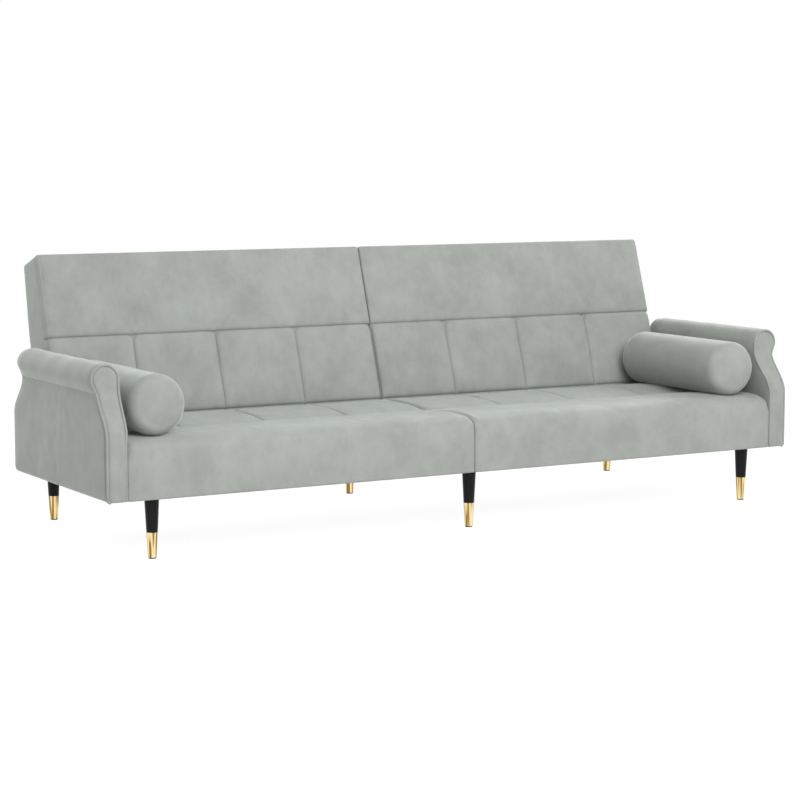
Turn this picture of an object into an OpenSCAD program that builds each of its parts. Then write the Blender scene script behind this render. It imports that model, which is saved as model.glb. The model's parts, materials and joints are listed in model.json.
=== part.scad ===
// Sofa bed: a fixed seat on six tapered legs, two arms with rolled tops, a backrest in two
// halves that fold down flat on ratchet hinges, and two loose bolsters.
// The origin is on the floor, under the middle of the sofa's outline.
// +X is to the right, +Y to the back and +Z up. Widths, depths and heights are in millimetres.

/* [Overall] */
// Width over the flat outer faces of the two arms
body_w = 2200; // [1800:10:2600]
// Depth from the front of the seat to the back of the rear rail
body_d = 775; // [750:5:840]
// Height of the body's lower edge above the floor
leg_h = 158; // [120:1:220]

/* [Seat] */
// Height of the seat, from the body's lower edge to the seams in the seat's top
seat_body_h = 154.5; // [142:0.5:192]
// Depth behind the seat's crease that the hinges and the rear rail take up
hinge_room = 254; // [235:1:285]
// Thickness of the quilted pads on the seat and the backrest
pad_t = 40; // [30:1:45]
// Thickness of the seat's foam slab
seat_foam_t = 20; // [10:1:30]
// Thickness of the padding in front of the front rail
border_t = 12; // [8:1:20]
// Depth of the seat's rounded front edge
nose_d = 50; // [30:1:70]
// Height of the seat's rounded front edge
nose_h = 25; // [10:1:35]
// Distance from the front to the seam across the seat
seat_seam_y = 265; // [200:1:330]
// Height by which the seat's pads crown above their seams
seat_crown = 5; // [1:0.5:10]
// Clear crease between the seat's rear edge and the backrest
crease_gap = 16; // [13:1:24]

/* [Backrest] */
// Lean of the backrest at rest, in degrees from upright
back_tilt = 18.5; // [12:0.5:24]
// Length of the backrest up its slope, from the crease
back_len = 473.5; // [400:0.5:560]
// Height of the gap between the backrest's padded lip and the runners below it
lip_gap = 26.7; // [23:0.1:45]
// Distance up the slope from the crease to the seam across the backrest
back_seam_u = 233; // [180:1:280]
// Height by which the backrest's lower pads crown above their seams
back_crown = 9; // [2:0.5:12]
// Gap between each half of the backrest and the middle of the sofa
half_gap = 1; // [0.5:0.5:5]
// Clearance between the backrest's ends and the line of the arms' inner faces
back_end_gap = 14.6; // [8:0.1:17]
// Depth of the backrest at its top, square to its front
back_top_depth = 98; // [90:1:120]
// Depth of the backrest at its fullest, square to its front
back_full_depth = 134; // [124:1:150]

/* [Arms] */
// Thickness of each arm, without its rolled top
arm_t = 56.4; // [48:0.1:80]
// Distance from the foot of each arm to the back of the rear rail
arm_back_gap = 105; // [85:5:135]
// Diameter of the rolled top
roll_dia = 77; // [66:1:90]
// Height of the roll's axis above the body's lower edge
roll_up = 310; // [282:1:342]
// Distance that the arm's front swings back under the roll
arm_setback = 67; // [30:1:80]
// Distance that the arm's rear swings forward under the roll
arm_rear_setback = 70; // [40:1:90]

/* [Legs] */
// Distance from the arm's outer face to the outer legs' axes
leg_inset = 136; // [90:1:200]
// Diameter of a leg at its top
leg_top_dia = 39; // [34:1:39.5]
// Diameter of a leg where its metal ferrule starts
leg_joint_dia = 30; // [26:1:34]
// Diameter of a leg at the floor
leg_foot_dia = 22; // [20:1:26]
// Height of the metal ferrule's upper edge above the floor
ferrule_h = 69; // [40:1:90]

/* [Bolsters] */
// Diameter of each bolster
bolster_dia = 164; // [120:1:166]
// Length by which each bolster is shorter than the seat is deep
bolster_short = 25; // [24:1:221]
// Distance from the front of the seat to a bolster's front end
bolster_y = 28; // [20:1:60]
// Gap between each bolster and the arm beside it
bolster_gap = 24.6; // [9.6:0.1:62]

/* [Hinges] */
// Distance from a hinge pin to the seat's top and to the backrest's front
pivot_off = 80; // [76:1:82]
// Radius of a hinge pin
pin_r = 5; // [4:0.5:6]
// Angle through which the backrest folds down from rest
recline_angle = 71.5; // [60:0.5:78]

/* [Hidden] */
$fn = 48;

// Clearances
soft_gap = 0.3;
run_gap = 0.05;
bolt_gap = 0.3;
over = 1;

// Seat frame
plate_t = 3;
runner_h = 30;
side_t = 20;
front_rail_d = 40;
cross_rail_d = 22;
frame_back_gap = 59;
rear_rail_d = 66;
rear_cover_t = 4;
web_t = 2;
dust_t = 1;
dust_edge = 8;
strap_w = 50;
strap_pitch = 78;

// Soft forms
mid_gap = 0.5;
front_bulge = 3;
seam_round = 12;
side_round = 22;
rear_round = 12;
front_round = 4;
edge_min = 4;
back_round = 15;
foot_tuck = 3;
back_top_crown = 5;
seam_dip = 1.5;
pads = 4;
puff_share = 0.5;
station_shares = [0, 0.02, 0.08, 0.25, 0.5, 0.75, 0.92, 0.98];
front_face_shares = [0.03, 0.3, 0.65, 1];
nose_steps = 4;
plain_shares = [0.3, 0.65, 0.93];
quilt_shares = [0, 0.05, 0.3, 0.65, 0.93];
lip_shares = [0.15, 0.55, 1];
low_pad_shares = [0.1, 0.3, 0.55, 0.8, 0.96];
top_pad_shares = [0.05, 0.25, 0.5, 0.75];
cap_share = 0.5;
round_angles = [30, 60];

// Backrest frame
core_t = 12;
stile_t = 21;
back_rail_d = 35;
rail_w = 50;
lip_edge = 2;
cover_t = 4;
cover_low_u = -30;
cover_low_depth = 100;
cover_waist_depth = 111;
cover_waist_u = 120;
cover_full_u = 240;
cover_round = 20;
cover_corner_r = 14;
cover_steps = 4;
lip_top_u = 3;

// Arms
core_board_t = 18;
core_inset = 14;
core_into_roll = 26;
facing_t = 6;
roll_shift = 3.2;
roll_round = 18;
front_curve_down = 143;
front_curve_h = 122;
rear_curve_down = 143;
rear_curve_h = 105;
arm_corner_r = 25;
curve_steps = 10;
arm_bolt_r = 4;
arm_head_r = 7;
arm_head_h = 5;
arm_bolt_front = 68;
arm_bolt_rear = 62;

// Legs
leg_rear_back = 46.5;
ferrule_t = 1.2;
ferrule_base_t = 2;
glide_h = 3;
glide_r = 10.2;
nail_r = 2;
nail_h = 12;
leg_plate_w = 70;
leg_plate_d = 36;
leg_bolt_r = 4;
leg_bolt_down = 36;
leg_bolt_up = 20;
nut_r = 7.5;
nut_h = 8;
nut_room = 1;
screw_r = 2;
screw_head_r = 4;
screw_head_h = 1.8;
screw_len = 16;
plate_screw_x = 28;
plate_screw_y = 12;

// Bolsters
bolster_dome = 8;
bolster_round = 26;
bolster_steps = 6;
dome_shares = [0, 0.5, 1];

// Hinges
bracket_t = 4;
hinge_gap = 1;
hinge_arm_t = 4;
head_r = 15;
bracket_foot_w = 78;
bracket_foot_up = 2;
bracket_foot_h = 26;
bracket_screw_x = 29;
arm_plate_w = 30;
arm_plate_up = 110;
arm_foot_r = 10;
arm_screw_pitch = 45;
arm_screw_count = 3;
ratchet_r = 22;
ratchet_t = 4;
ratchet_gap = 0.5;
notch_d = 3;
notch_w = 8;
notch_shares = [0, 0.5, 1];
pawl_off = 28;
pawl_reach = 16;
pawl_body_r = 5.5;
pawl_bar_w = 5;
pawl_pin_r = 2.5;
pawl_tooth_w = 5;
pawl_rim_gap = 0.4;
pawl_t = 4;
pin_head_r = 8;
pin_head_h = 3;

// Colours
velvet = "#AEB4AC";
velvet_dark = "#9AA099";
timber = "#C9A877";
board = "#B58F5E";
foam = "#EDE6C8";
black = "#1C1C1E";
brass = "#D9A441";
steel = "#9DA1A6";
cloth = "#2E2E30";

// Derived places: y is measured back from the front of the seat
front_y = -body_d / 2;
seat_h = leg_h + seat_body_h;
seat_d = body_d - hinge_room;
inner_x = body_w / 2 - arm_t;
seat_half_w = inner_x - soft_gap;
back_half_w = inner_x - back_end_gap;
frame_z = leg_h + plate_t;
runner_top = frame_z + runner_h;
foam_top = seat_h - pad_t - soft_gap;
frame_top = foam_top - seat_foam_t - web_t;
seat_frame_d = seat_d - frame_back_gap;
side_rail_in = seat_half_w - side_t;
seat_seam_x = back_half_w / pads;
rear_rail_y = body_d - rear_cover_t - rear_rail_d;
runner_y = border_t + front_rail_d;
runner_d = rear_rail_y - runner_y;
leg_x = body_w / 2 - leg_inset;
leg_front_y = border_t + front_rail_d / 2;
leg_rear_y = body_d - leg_rear_back;
side_drop = min(side_round, pad_t - rear_round - edge_min, nose_h - edge_min / 2);
seam_drop = min(seam_round, side_drop);
arm_d = body_d - arm_back_gap;
roll_h = leg_h + roll_up;
roll_x = inner_x + arm_t / 2 + roll_shift;
roll_r = roll_dia / 2;
core_x = inner_x + (arm_t - core_board_t) / 2;
core_top = roll_h - roll_r + core_into_roll;
front_curve_z = roll_h - front_curve_down;
rear_curve_z = roll_h - rear_curve_down;
arm_bolt_ys = [runner_y + arm_bolt_front, seat_frame_d - arm_bolt_rear];
arm_bolt_z = (runner_top + frame_top) / 2;
pivot_u = -pivot_off * (1 - sin(back_tilt)) / cos(back_tilt);
pivot_y = seat_d + pivot_u * sin(back_tilt) + pivot_off * cos(back_tilt);
pivot_z = seat_h - pivot_off;
back_lip = (seat_h - runner_top - lip_gap) / cos(back_tilt);
core_n = pad_t + soft_gap;
web_n = core_n + core_t;
frame_n = web_n + web_t;
frame_back_n = frame_n + back_rail_d;
stile_in = half_gap + side_t + bracket_t + hinge_gap + hinge_arm_t;
stile_out = side_rail_in - bracket_t - hinge_gap - hinge_arm_t;
rail_us = [cover_low_u, back_seam_u - rail_w / 2, back_len - cover_round - rail_w];
bolster_r = bolster_dia / 2;
bolster_len = seat_d - bolster_short;
bolster_z = seat_h + seat_crown + soft_gap + bolster_r;
pawl_x = hinge_gap + bracket_t + hinge_arm_t + ratchet_gap;

// Helpers
module from_front() translate([0, front_y, 0]) children();

module on_side(side) mirror([side < 0 ? 1 : 0, 0, 0]) children();

module both_sides() for (side = [-1, 1]) on_side(side) children();

// A shape drawn in depth and height, drawn out across the sofa
module across(x, w) translate([x, 0, 0]) rotate([90, 0, 90]) linear_extrude(w) children();

// A cylinder across the sofa
module rod_across(r, x, w) translate([x, 0, 0]) rotate([0, 90, 0]) cylinder(h = w, r = r);

// The backrest's own place: x across, y rearward from its front and z up its slope
module on_back() from_front() translate([0, seat_d, seat_h]) rotate([-back_tilt, 0, 0]) children();

module box(x, y, z, w, d, h) translate([x, y, z]) cube([w, d, h]);

function mix(a, b, t) = a + (b - a) * t;

function smooth(t) = let (c = min(1, max(0, t))) c * c * (3 - 2 * c);

function puff(f) = pow(max(0, sin(180 * min(1, max(0, f)))), puff_share);

// Share of a rounded edge's radius that the surface has dropped, at a distance from the end
function edge_share(d, r) = d >= r ? 0 : 1 - sqrt(max(0, 1 - pow(1 - max(0, d) / r, 2)));

// Stations across one half, from its inner end to its outer end, close together at each seam
function stations(x0, x1, seam) = concat(
    [for (i = [0:pads - 1]) let (from = i == 0 ? x0 : i * seam, to = i == pads - 1 ? x1 : (i + 1) * seam)
        for (s = station_shares) from + s * (to - from)],
    [x1]);

// Share of the way across its own pad
function pad_share(x, x1, seam) = let (i = min(pads - 1, floor(x / seam)))
    i == pads - 1 ? (x - i * seam) / (x1 - i * seam) : x / seam - i;

// Triangles over a stack of rings of points, with a fan at each end
function skin_faces(rings, count) = let (last = (rings - 1) * count) concat(
    [for (i = [0:rings - 2]) for (j = [0:count - 1]) let (k = (j + 1) % count, a = i * count)
        each [[a + j, a + k, a + count + k], [a + j, a + count + k, a + count + j]]],
    [for (j = [0:count - 1]) [rings * count, (j + 1) % count, j]],
    [for (j = [0:count - 1]) [rings * count + 1, last + j, last + (j + 1) % count]]);

module skin(rings, start, end) polyhedron(
    points = concat([for (ring = rings) each ring], [start, end]),
    faces = skin_faces(len(rings), len(rings[0])));

// Seat frame
module front_rail() color(timber) from_front() difference() {
    box(-seat_half_w, border_t, frame_z, 2 * seat_half_w, front_rail_d, frame_top - frame_z);
    for (x = [-leg_x, 0, leg_x]) leg_pocket(x, leg_front_y);
}

module rear_rail() color(timber) from_front() difference() {
    box(-seat_half_w, rear_rail_y, frame_z, 2 * seat_half_w, rear_rail_d, runner_h);
    for (x = [-leg_x, 0, leg_x]) leg_pocket(x, leg_rear_y);
}

// Room in a rail for a leg's nut, its bolt and its plate's screws
module leg_pocket(x, y) translate([x, y, frame_z - over]) {
    cylinder(h = nut_h + nut_room + over, r = nut_r + nut_room);
    cylinder(h = leg_bolt_up + nut_room + over, r = leg_bolt_r + bolt_gap);
    plate_screw_places() cylinder(h = screw_len - plate_t + bolt_gap + over, r = screw_r + bolt_gap);
}

module plate_screw_places() for (x = [-1, 1]) for (y = [-1, 1])
    translate([x * plate_screw_x, y * plate_screw_y, 0]) children();

module rear_rail_cover() color(velvet) from_front() difference() {
    box(-seat_half_w, rear_rail_y, leg_h,
        2 * seat_half_w, body_d - rear_rail_y, runner_top + rear_cover_t - leg_h);
    box(-body_w, rear_rail_y - over, leg_h - over, 2 * body_w, rear_rail_d + over, runner_top - leg_h + over);
}

module side_runner() color(timber) from_front() difference() {
    box(side_rail_in, runner_y, frame_z, side_t, runner_d, runner_h);
    hinge_place(1) bracket_screw_holes();
}

module middle_runners() color(timber) both_sides() from_front() difference() {
    box(half_gap, runner_y, frame_z, side_t, runner_d, runner_h);
    hinge_place(0) bracket_screw_holes();
}

module seat_side_rails() color(timber) both_sides() from_front() {
    difference() {
        seat_side_rail(side_rail_in);
        for (y = arm_bolt_ys) translate([0, y, arm_bolt_z]) rod_across(arm_bolt_r + bolt_gap, 0, body_w);
    }
    seat_side_rail(half_gap);
}

module seat_side_rail(x)
    box(x, runner_y, runner_top, side_t, seat_frame_d - runner_y, frame_top - runner_top);

module seat_cross_rails() color(timber) both_sides() from_front()
    box(half_gap + side_t, seat_frame_d - cross_rail_d, runner_top,
        side_rail_in - half_gap - side_t, cross_rail_d, frame_top - runner_top);

module seat_webbing() color(cloth) both_sides() from_front()
    webbing(half_gap, side_rail_in + side_t, border_t, seat_frame_d, frame_top);

// Crossed straps that fill a rectangle as far as whole straps go, edge straps included
module webbing(x0, x1, y0, y1, z) translate([0, 0, z]) linear_extrude(web_t) union() {
    strap_row(x0, x1) translate([0, y0]) square([strap_w, y1 - y0]);
    translate([x0 + x1, 0]) rotate(90) strap_row(y0, y1) translate([0, x0]) square([strap_w, x1 - x0]);
}

// Straps side by side, from one end of a span to the other
module strap_row(from, to) {
    steps = floor((to - from - strap_w) / strap_pitch);
    for (i = [0:steps]) translate([from + i * (to - from - strap_w) / steps, 0]) children();
}

module seat_foam() color(foam) from_front() translate([0, 0, frame_top + web_t]) linear_extrude(seat_foam_t)
    translate([half_gap, border_t]) square([seat_half_w - half_gap, seat_frame_d - border_t]);

// Height that the seat's top stands above its seams
function seat_rise(x, y) = y < seat_seam_y
    ? seat_crown * puff(x / seat_half_w) * smooth(y / nose_d) * puff((seat_seam_y - y) / seat_seam_y)
    : seat_crown * puff(pad_share(x, seat_half_w, seat_seam_x))
        * puff((y - seat_seam_y) / (seat_d - seat_seam_y));

function seat_rear_y(z) = seat_d - crease_gap - (seat_h - z) * tan(back_tilt);

// Outline of the seat's padding at one station, as it turns down over the front rail
function seat_ring(x) = let (
    drop = max(seam_drop * edge_share(x - mid_gap, seam_drop),
        side_drop * edge_share(seat_half_w - x, side_drop)),
    tuck = front_round * max(edge_share(x - mid_gap, front_round), edge_share(seat_half_w - x, front_round)),
    face_h = seat_h - nose_h - leg_h,
    rear_y = seat_rear_y(seat_h),
    quilt_d = rear_y - rear_round - seat_seam_y) concat(
    [[x, border_t, leg_h], [x, foot_tuck + tuck, leg_h]],
    [for (s = front_face_shares) let (bulge = front_bulge * (1 - puff(x / seat_half_w) * puff((1 + s) / 2)))
        [x, bulge + tuck, leg_h + s * face_h]],
    [for (i = [1:nose_steps]) let (a = 90 * i / nose_steps, y = nose_d * (1 - cos(a)))
        [x, y + tuck * cos(a), seat_h - nose_h + nose_h * sin(a) + seat_rise(x, y) - drop * sin(a)]],
    [for (s = plain_shares) let (y = nose_d + s * (seat_seam_y - nose_d))
        [x, y, seat_h + seat_rise(x, y) - drop]],
    [for (s = quilt_shares) let (y = seat_seam_y + s * quilt_d)
        [x, y, seat_h + seat_rise(x, y) - drop]],
    [for (a = round_angles)
        [x, rear_y - rear_round * (1 - sin(a)), seat_h - rear_round * (1 - cos(a)) - drop]],
    [[x, seat_rear_y(seat_h - side_drop - rear_round), seat_h - side_drop - rear_round],
        [x, seat_rear_y(seat_h - pad_t), seat_h - pad_t], [x, border_t, seat_h - pad_t]]);

module seat_cushion() color(velvet) from_front() {
    rings = [for (x = stations(mid_gap, seat_half_w, seat_seam_x)) seat_ring(x)];
    hub_y = border_t * cap_share;
    hub_z = seat_h - pad_t + (pad_t - nose_h) * cap_share;
    skin(rings, [mid_gap, hub_y, hub_z], [seat_half_w, hub_y, hub_z]);
}

module dust_cover() color(cloth) from_front() translate([0, 0, frame_z - dust_t]) linear_extrude(dust_t)
    difference() {
        translate([-seat_half_w + dust_edge, border_t + dust_edge])
            square([2 * (seat_half_w - dust_edge), seat_frame_d - border_t - dust_edge]);
        for (x = [-leg_x, 0, leg_x]) translate([x, leg_front_y])
            square([leg_plate_w + over, leg_plate_d + over], center = true);
    }

// Legs
module leg_places() from_front() for (x = [-leg_x, 0, leg_x]) for (y = [leg_front_y, leg_rear_y])
    translate([x, y, 0]) children();

function leg_r(z) = z > ferrule_h
    ? (leg_joint_dia + (leg_top_dia - leg_joint_dia) * (z - ferrule_h) / (leg_h - ferrule_h)) / 2
    : (leg_foot_dia + (leg_joint_dia - leg_foot_dia) * z / ferrule_h) / 2;

// What fills a ferrule, drawn in from its outer face by an inset
module ferrule_core(inset) let (z = glide_h + ferrule_base_t) translate([0, 0, z])
    cylinder(h = ferrule_h - z, r1 = leg_r(z) - inset, r2 = leg_r(ferrule_h) - inset);

module leg(x, y) color(black) from_front() translate([x, y, 0]) difference() {
    union() {
        translate([0, 0, ferrule_h])
            cylinder(h = leg_h - ferrule_h, r1 = leg_r(ferrule_h), r2 = leg_r(leg_h));
        ferrule_core(ferrule_t + run_gap);
    }
    translate([0, 0, leg_h - leg_bolt_down]) cylinder(h = leg_bolt_down + over, r = leg_bolt_r + bolt_gap);
    cylinder(h = glide_h + nail_h + bolt_gap, r = nail_r + bolt_gap);
}

module leg_ferrules() color(brass) leg_places() difference() {
    translate([0, 0, glide_h]) cylinder(h = ferrule_h - glide_h, r1 = leg_r(glide_h), r2 = leg_r(ferrule_h));
    ferrule_core(ferrule_t);
    cylinder(h = ferrule_h, r = nail_r + bolt_gap);
}

module leg_glides() color(black) leg_places() {
    cylinder(h = glide_h, r = glide_r);
    cylinder(h = glide_h + nail_h, r = nail_r);
}

module leg_plates() color(steel) leg_places() translate([0, 0, leg_h]) difference() {
    union() {
        translate([-leg_plate_w / 2, -leg_plate_d / 2, 0]) cube([leg_plate_w, leg_plate_d, plate_t]);
        cylinder(h = plate_t + nut_h, r = nut_r, $fn = 6);
    }
    translate([0, 0, -over]) cylinder(h = plate_t + nut_h + 2 * over, r = leg_bolt_r + run_gap);
    translate([0, 0, -over]) plate_screw_places() cylinder(h = plate_t + 2 * over, r = screw_r + bolt_gap);
}

module leg_bolts() color(steel) leg_places() translate([0, 0, leg_h - leg_bolt_down + bolt_gap])
    cylinder(h = leg_bolt_down + plate_t + leg_bolt_up, r = leg_bolt_r);

module plate_screws() color(steel) leg_places() translate([0, 0, leg_h]) plate_screw_places() {
    cylinder(h = screw_len, r = screw_r);
    translate([0, 0, -screw_head_h]) cylinder(h = screw_head_h, r = screw_head_r);
}

// Arms
function arm_front(z) = arm_setback * smooth((z - front_curve_z) / front_curve_h);

function arm_back(z) = arm_d - arm_rear_setback * smooth((z - rear_curve_z) / rear_curve_h);

function front_curve(inset, low, high) = concat([[inset, low]],
    [for (i = [0:curve_steps]) let (z = front_curve_z + i * front_curve_h / curve_steps)
        if (z > low && z < high) [arm_front(z) + inset, z]],
    [[arm_front(high) + inset, high]]);

function back_curve(inset, low, high) = concat([[arm_back(high) - inset, high]],
    [for (i = [curve_steps:-1:0]) let (z = rear_curve_z + i * rear_curve_h / curve_steps)
        if (z > low && z < high) [arm_back(z) - inset, z]],
    [for (i = [0:cover_steps]) let (a = 90 * i / cover_steps)
        [arm_d - inset - arm_corner_r * (1 - cos(a)), low + arm_corner_r * (1 - sin(a))]]);

module arm_shape(inset, low, high)
    polygon(concat(front_curve(inset, low, high), back_curve(inset, low, high)));

module roll_rod(r, y0, y1) translate([roll_x, y0, roll_h]) rotate([-90, 0, 0]) cylinder(h = y1 - y0, r = r);

module arm_core_shape(grow) translate([core_x - grow, 0, 0]) rotate([90, 0, 90])
    linear_extrude(core_board_t + 2 * grow) union() {
        arm_shape(core_inset - grow, frame_z, core_top + grow);
        if (grow > 0) arm_shape(core_inset - grow, leg_h - over, frame_z + arm_corner_r + over);
    }

module arm_core() color(board) from_front() difference() {
    arm_core_shape(0);
    for (y = arm_bolt_ys) translate([0, y, arm_bolt_z]) rod_across(arm_bolt_r + bolt_gap, 0, body_w);
}

module arm_pad() color(velvet) from_front() difference() {
    across(inner_x, arm_t) arm_shape(0, leg_h, roll_h);
    arm_core_shape(soft_gap);
    roll_rod(roll_r + soft_gap, -over, arm_d);
    across(inner_x - over, arm_t + 2 * over) facing_band(facing_t + soft_gap, over);
    for (y = arm_bolt_ys) translate([0, y, arm_bolt_z])
        rod_across(arm_bolt_r + bolt_gap, inner_x - over, arm_t / 2 + over);
}

// The strip that follows the arm's front, as thick as t, with its front and foot grown by grow
module facing_band(t, grow) {
    band = front_curve(0, leg_h - grow, roll_h);
    polygon(concat(
        [for (p = band) [p.x - grow, p.y]],
        [for (i = [len(band) - 1:-1:0]) [band[i].x + t, band[i].y]]));
}

module arm_roll() color(velvet) from_front() difference() {
    translate([roll_x, arm_setback + facing_t + soft_gap, roll_h]) rotate([-90, 0, 0]) rotate_extrude()
        roll_profile(arm_d - arm_rear_setback - arm_setback - facing_t - soft_gap + roll_round / 2);
    arm_core_shape(soft_gap);
}

// Half outline of the roll, with a rounded rear end
module roll_profile(length) {
    square([roll_r, length - roll_round]);
    square([roll_r - roll_round, length]);
    intersection() {
        translate([roll_r - roll_round, length - roll_round]) circle(roll_round);
        square([roll_r, length]);
    }
}

module arm_facing() color(velvet) from_front() {
    across(inner_x, arm_t) facing_band(facing_t, 0);
    roll_rod(roll_r, arm_setback, arm_setback + facing_t);
}

module arm_bolts() color(steel) both_sides() from_front() for (y = arm_bolt_ys)
    translate([side_rail_in, y, arm_bolt_z]) {
        rod_across(arm_bolt_r, -arm_head_h / 2, core_x + core_board_t - side_rail_in + arm_head_h / 2);
        rod_across(arm_head_r, -arm_head_h, arm_head_h);
    }

// Hinges: each is drawn from the face of the runner that carries it, with x towards the half's middle
module hinge_place(end) {
    if (end == 0) translate([half_gap + side_t, pivot_y, 0]) children();
    if (end == 1) translate([side_rail_in, pivot_y, 0]) mirror([1, 0, 0]) children();
}

module hinge_places() from_front() for (end = [0, 1]) hinge_place(end) children();

// The same places in the backrest's own directions, with the pin's axis at the origin
module back_hinge_places() on_back() for (end = [0, 1]) translate([0, pivot_off, pivot_u]) {
    if (end == 0) translate([half_gap + side_t, 0, 0]) children();
    if (end == 1) translate([side_rail_in, 0, 0]) mirror([1, 0, 0]) children();
}

module bracket_screw_spots() for (y = [-bracket_screw_x, bracket_screw_x])
    translate([0, y, frame_z + bracket_foot_up + bracket_foot_h / 2]) children();

module bracket_screw_holes() bracket_screw_spots()
    rod_across(screw_r + bolt_gap, bracket_t - screw_len - bolt_gap, screw_len + bracket_t);

module hinge_brackets() color(steel) both_sides() hinge_places() difference() {
    across(0, bracket_t) difference() {
        union() {
            translate([0, pivot_z]) circle(head_r);
            polygon([[-head_r, pivot_z], [head_r, pivot_z],
                [bracket_foot_w / 2, frame_z + bracket_foot_up + bracket_foot_h],
                [bracket_foot_w / 2, frame_z + bracket_foot_up],
                [-bracket_foot_w / 2, frame_z + bracket_foot_up],
                [-bracket_foot_w / 2, frame_z + bracket_foot_up + bracket_foot_h]]);
        }
        translate([0, pivot_z]) circle(pin_r);
    }
    bracket_screw_holes();
}

module bracket_screws() color(steel) both_sides() hinge_places() bracket_screw_spots() {
    rod_across(screw_r, bracket_t - screw_len, screw_len);
    rod_across(screw_head_r, bracket_t, screw_head_h);
}

// A shouldered pin, riveted in its bracket, that carries the backrest's hinge arm and the ratchet disc
module hinge_pins() color(steel) both_sides() hinge_places() translate([0, 0, pivot_z]) {
    rod_across(pin_r, 0, pawl_x + ratchet_t);
    rod_across(pin_head_r, pawl_x + ratchet_t, pin_head_h);
}

module ratchet_discs() color(steel) both_sides() hinge_places() translate([0, 0, pivot_z])
    across(pawl_x, ratchet_t) difference() {
        circle(ratchet_r);
        circle(pin_r);
        for (s = notch_shares) rotate(-90 - back_tilt - s * recline_angle)
            translate([ratchet_r, 0]) square([2 * notch_d, notch_w], center = true);
    }

// The arm's plate, with a foot that carries the pawl's pin
module hinge_arm_shape() union() {
    translate([-arm_plate_w / 2, -pawl_off]) square([arm_plate_w, pawl_off + arm_plate_up - pivot_u]);
    for (y = [-pawl_reach, arm_plate_w / 2 - arm_foot_r]) translate([y, -pawl_off]) circle(arm_foot_r);
    translate([-pawl_reach, -pawl_off - arm_foot_r])
        square([pawl_reach + arm_plate_w / 2 - arm_foot_r, 2 * arm_foot_r]);
}

module arm_screw_spots() for (i = [0:arm_screw_count - 1])
    translate([0, 0, i * arm_screw_pitch - pivot_u]) children();

module hinge_arms() color(steel) back_hinge_places() difference() {
    across(bracket_t + hinge_gap, hinge_arm_t) difference() {
        hinge_arm_shape();
        circle(pin_r + run_gap);
        translate([-pawl_reach, -pawl_off]) circle(pawl_pin_r);
    }
    arm_screw_spots() rod_across(screw_r + bolt_gap, 0, screw_len);
}

module arm_screws() color(steel) back_hinge_places() arm_screw_spots() {
    rod_across(screw_r, bracket_t + hinge_gap, screw_len);
    rod_across(screw_head_r, bracket_t + hinge_gap - screw_head_h / 2, screw_head_h / 2);
}

// A pawl with the pin that it rocks on, its tooth held clear of the disc's rim
module pawls() color(steel) back_hinge_places() {
    across(pawl_x, pawl_t) {
        translate([-pawl_reach, -pawl_off]) circle(pawl_body_r);
        translate([-pawl_reach, -pawl_off - pawl_bar_w / 2])
            square([pawl_reach + pawl_tooth_w / 2, pawl_bar_w]);
        translate([-pawl_tooth_w / 2, -pawl_off]) square([pawl_tooth_w, pawl_off - ratchet_r - pawl_rim_gap]);
    }
    translate([0, -pawl_reach, -pawl_off])
        rod_across(pawl_pin_r - run_gap, bracket_t + hinge_gap, hinge_arm_t + ratchet_gap);
}

// Backrest frame, padding and cover, drawn in rearward depth and distance up the slope
function cover_depth(u) = u <= cover_waist_u
    ? mix(cover_low_depth, cover_waist_depth, (u - cover_low_u) / (cover_waist_u - cover_low_u))
    : u <= cover_full_u
        ? mix(cover_waist_depth, back_full_depth, smooth((u - cover_waist_u) / (cover_full_u - cover_waist_u)))
        : mix(back_full_depth, back_top_depth, (u - cover_full_u) / (back_len - cover_full_u));

// Outline of the backrest behind its quilted pad, drawn in from the cover by an inset
module back_shape(front, low, inset) {
    waist = [for (i = [0:cover_steps]) cover_waist_u + i * (cover_full_u - cover_waist_u) / cover_steps];
    round_u = back_len - cover_round;
    arc_n = cover_depth(round_u) - cover_round;
    polygon(concat(
        [[front, low], [cover_depth(low) - inset, low]],
        [for (u = waist) [cover_depth(u) - inset, u]],
        [for (i = [0:cover_steps]) let (a = 90 * i / cover_steps, r = cover_round - inset)
            [arc_n + r * cos(a), round_u + r * sin(a)]],
        [[front, back_len - inset]]));
}

module back_cover() color(velvet_dark) on_back() intersection() {
    difference() {
        across(half_gap, back_half_w - half_gap) back_shape(core_n, cover_low_u, 0);
        across(half_gap + cover_t, back_half_w - half_gap - 2 * cover_t)
            back_shape(core_n - over, cover_low_u - over, cover_t);
    }
    rotate([90, 0, 0]) translate([0, 0, -body_d]) linear_extrude(body_d)
        rounded_top(half_gap, back_half_w, cover_low_u - over, back_len, cover_corner_r);
}

// A rectangle with its two upper corners rounded
module rounded_top(x0, x1, z0, z1, r) union() {
    translate([x0, z0]) square([x1 - x0, z1 - r - z0]);
    translate([x0 + r, z0]) square([x1 - x0 - 2 * r, z1 - z0]);
    for (x = [x0 + r, x1 - r]) translate([x, z1 - r]) circle(r);
}

module back_stiles() color(board) on_back() difference() {
    for (x = [stile_in, stile_out - stile_t]) across(x, stile_t)
        back_shape(frame_n, cover_low_u, cover_t + soft_gap);
    translate([0, pivot_off, pivot_u]) arm_screw_spots() {
        rod_across(screw_r + bolt_gap, stile_in - over, screw_len + over);
        rod_across(screw_r + bolt_gap, stile_out - screw_len, screw_len + over);
    }
}

module back_rails() color(timber) on_back() for (u = rail_us)
    box(stile_in + stile_t, u == cover_low_u ? web_n : frame_n, u, stile_out - stile_in - 2 * stile_t,
        frame_back_n - (u == cover_low_u ? web_n : frame_n), rail_w);

module back_webbing() color(cloth) on_back() translate([0, frame_n, 0]) rotate([90, 0, 0])
    webbing(stile_in, stile_out, cover_low_u + rail_w, back_len - cover_t - soft_gap, 0);

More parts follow.
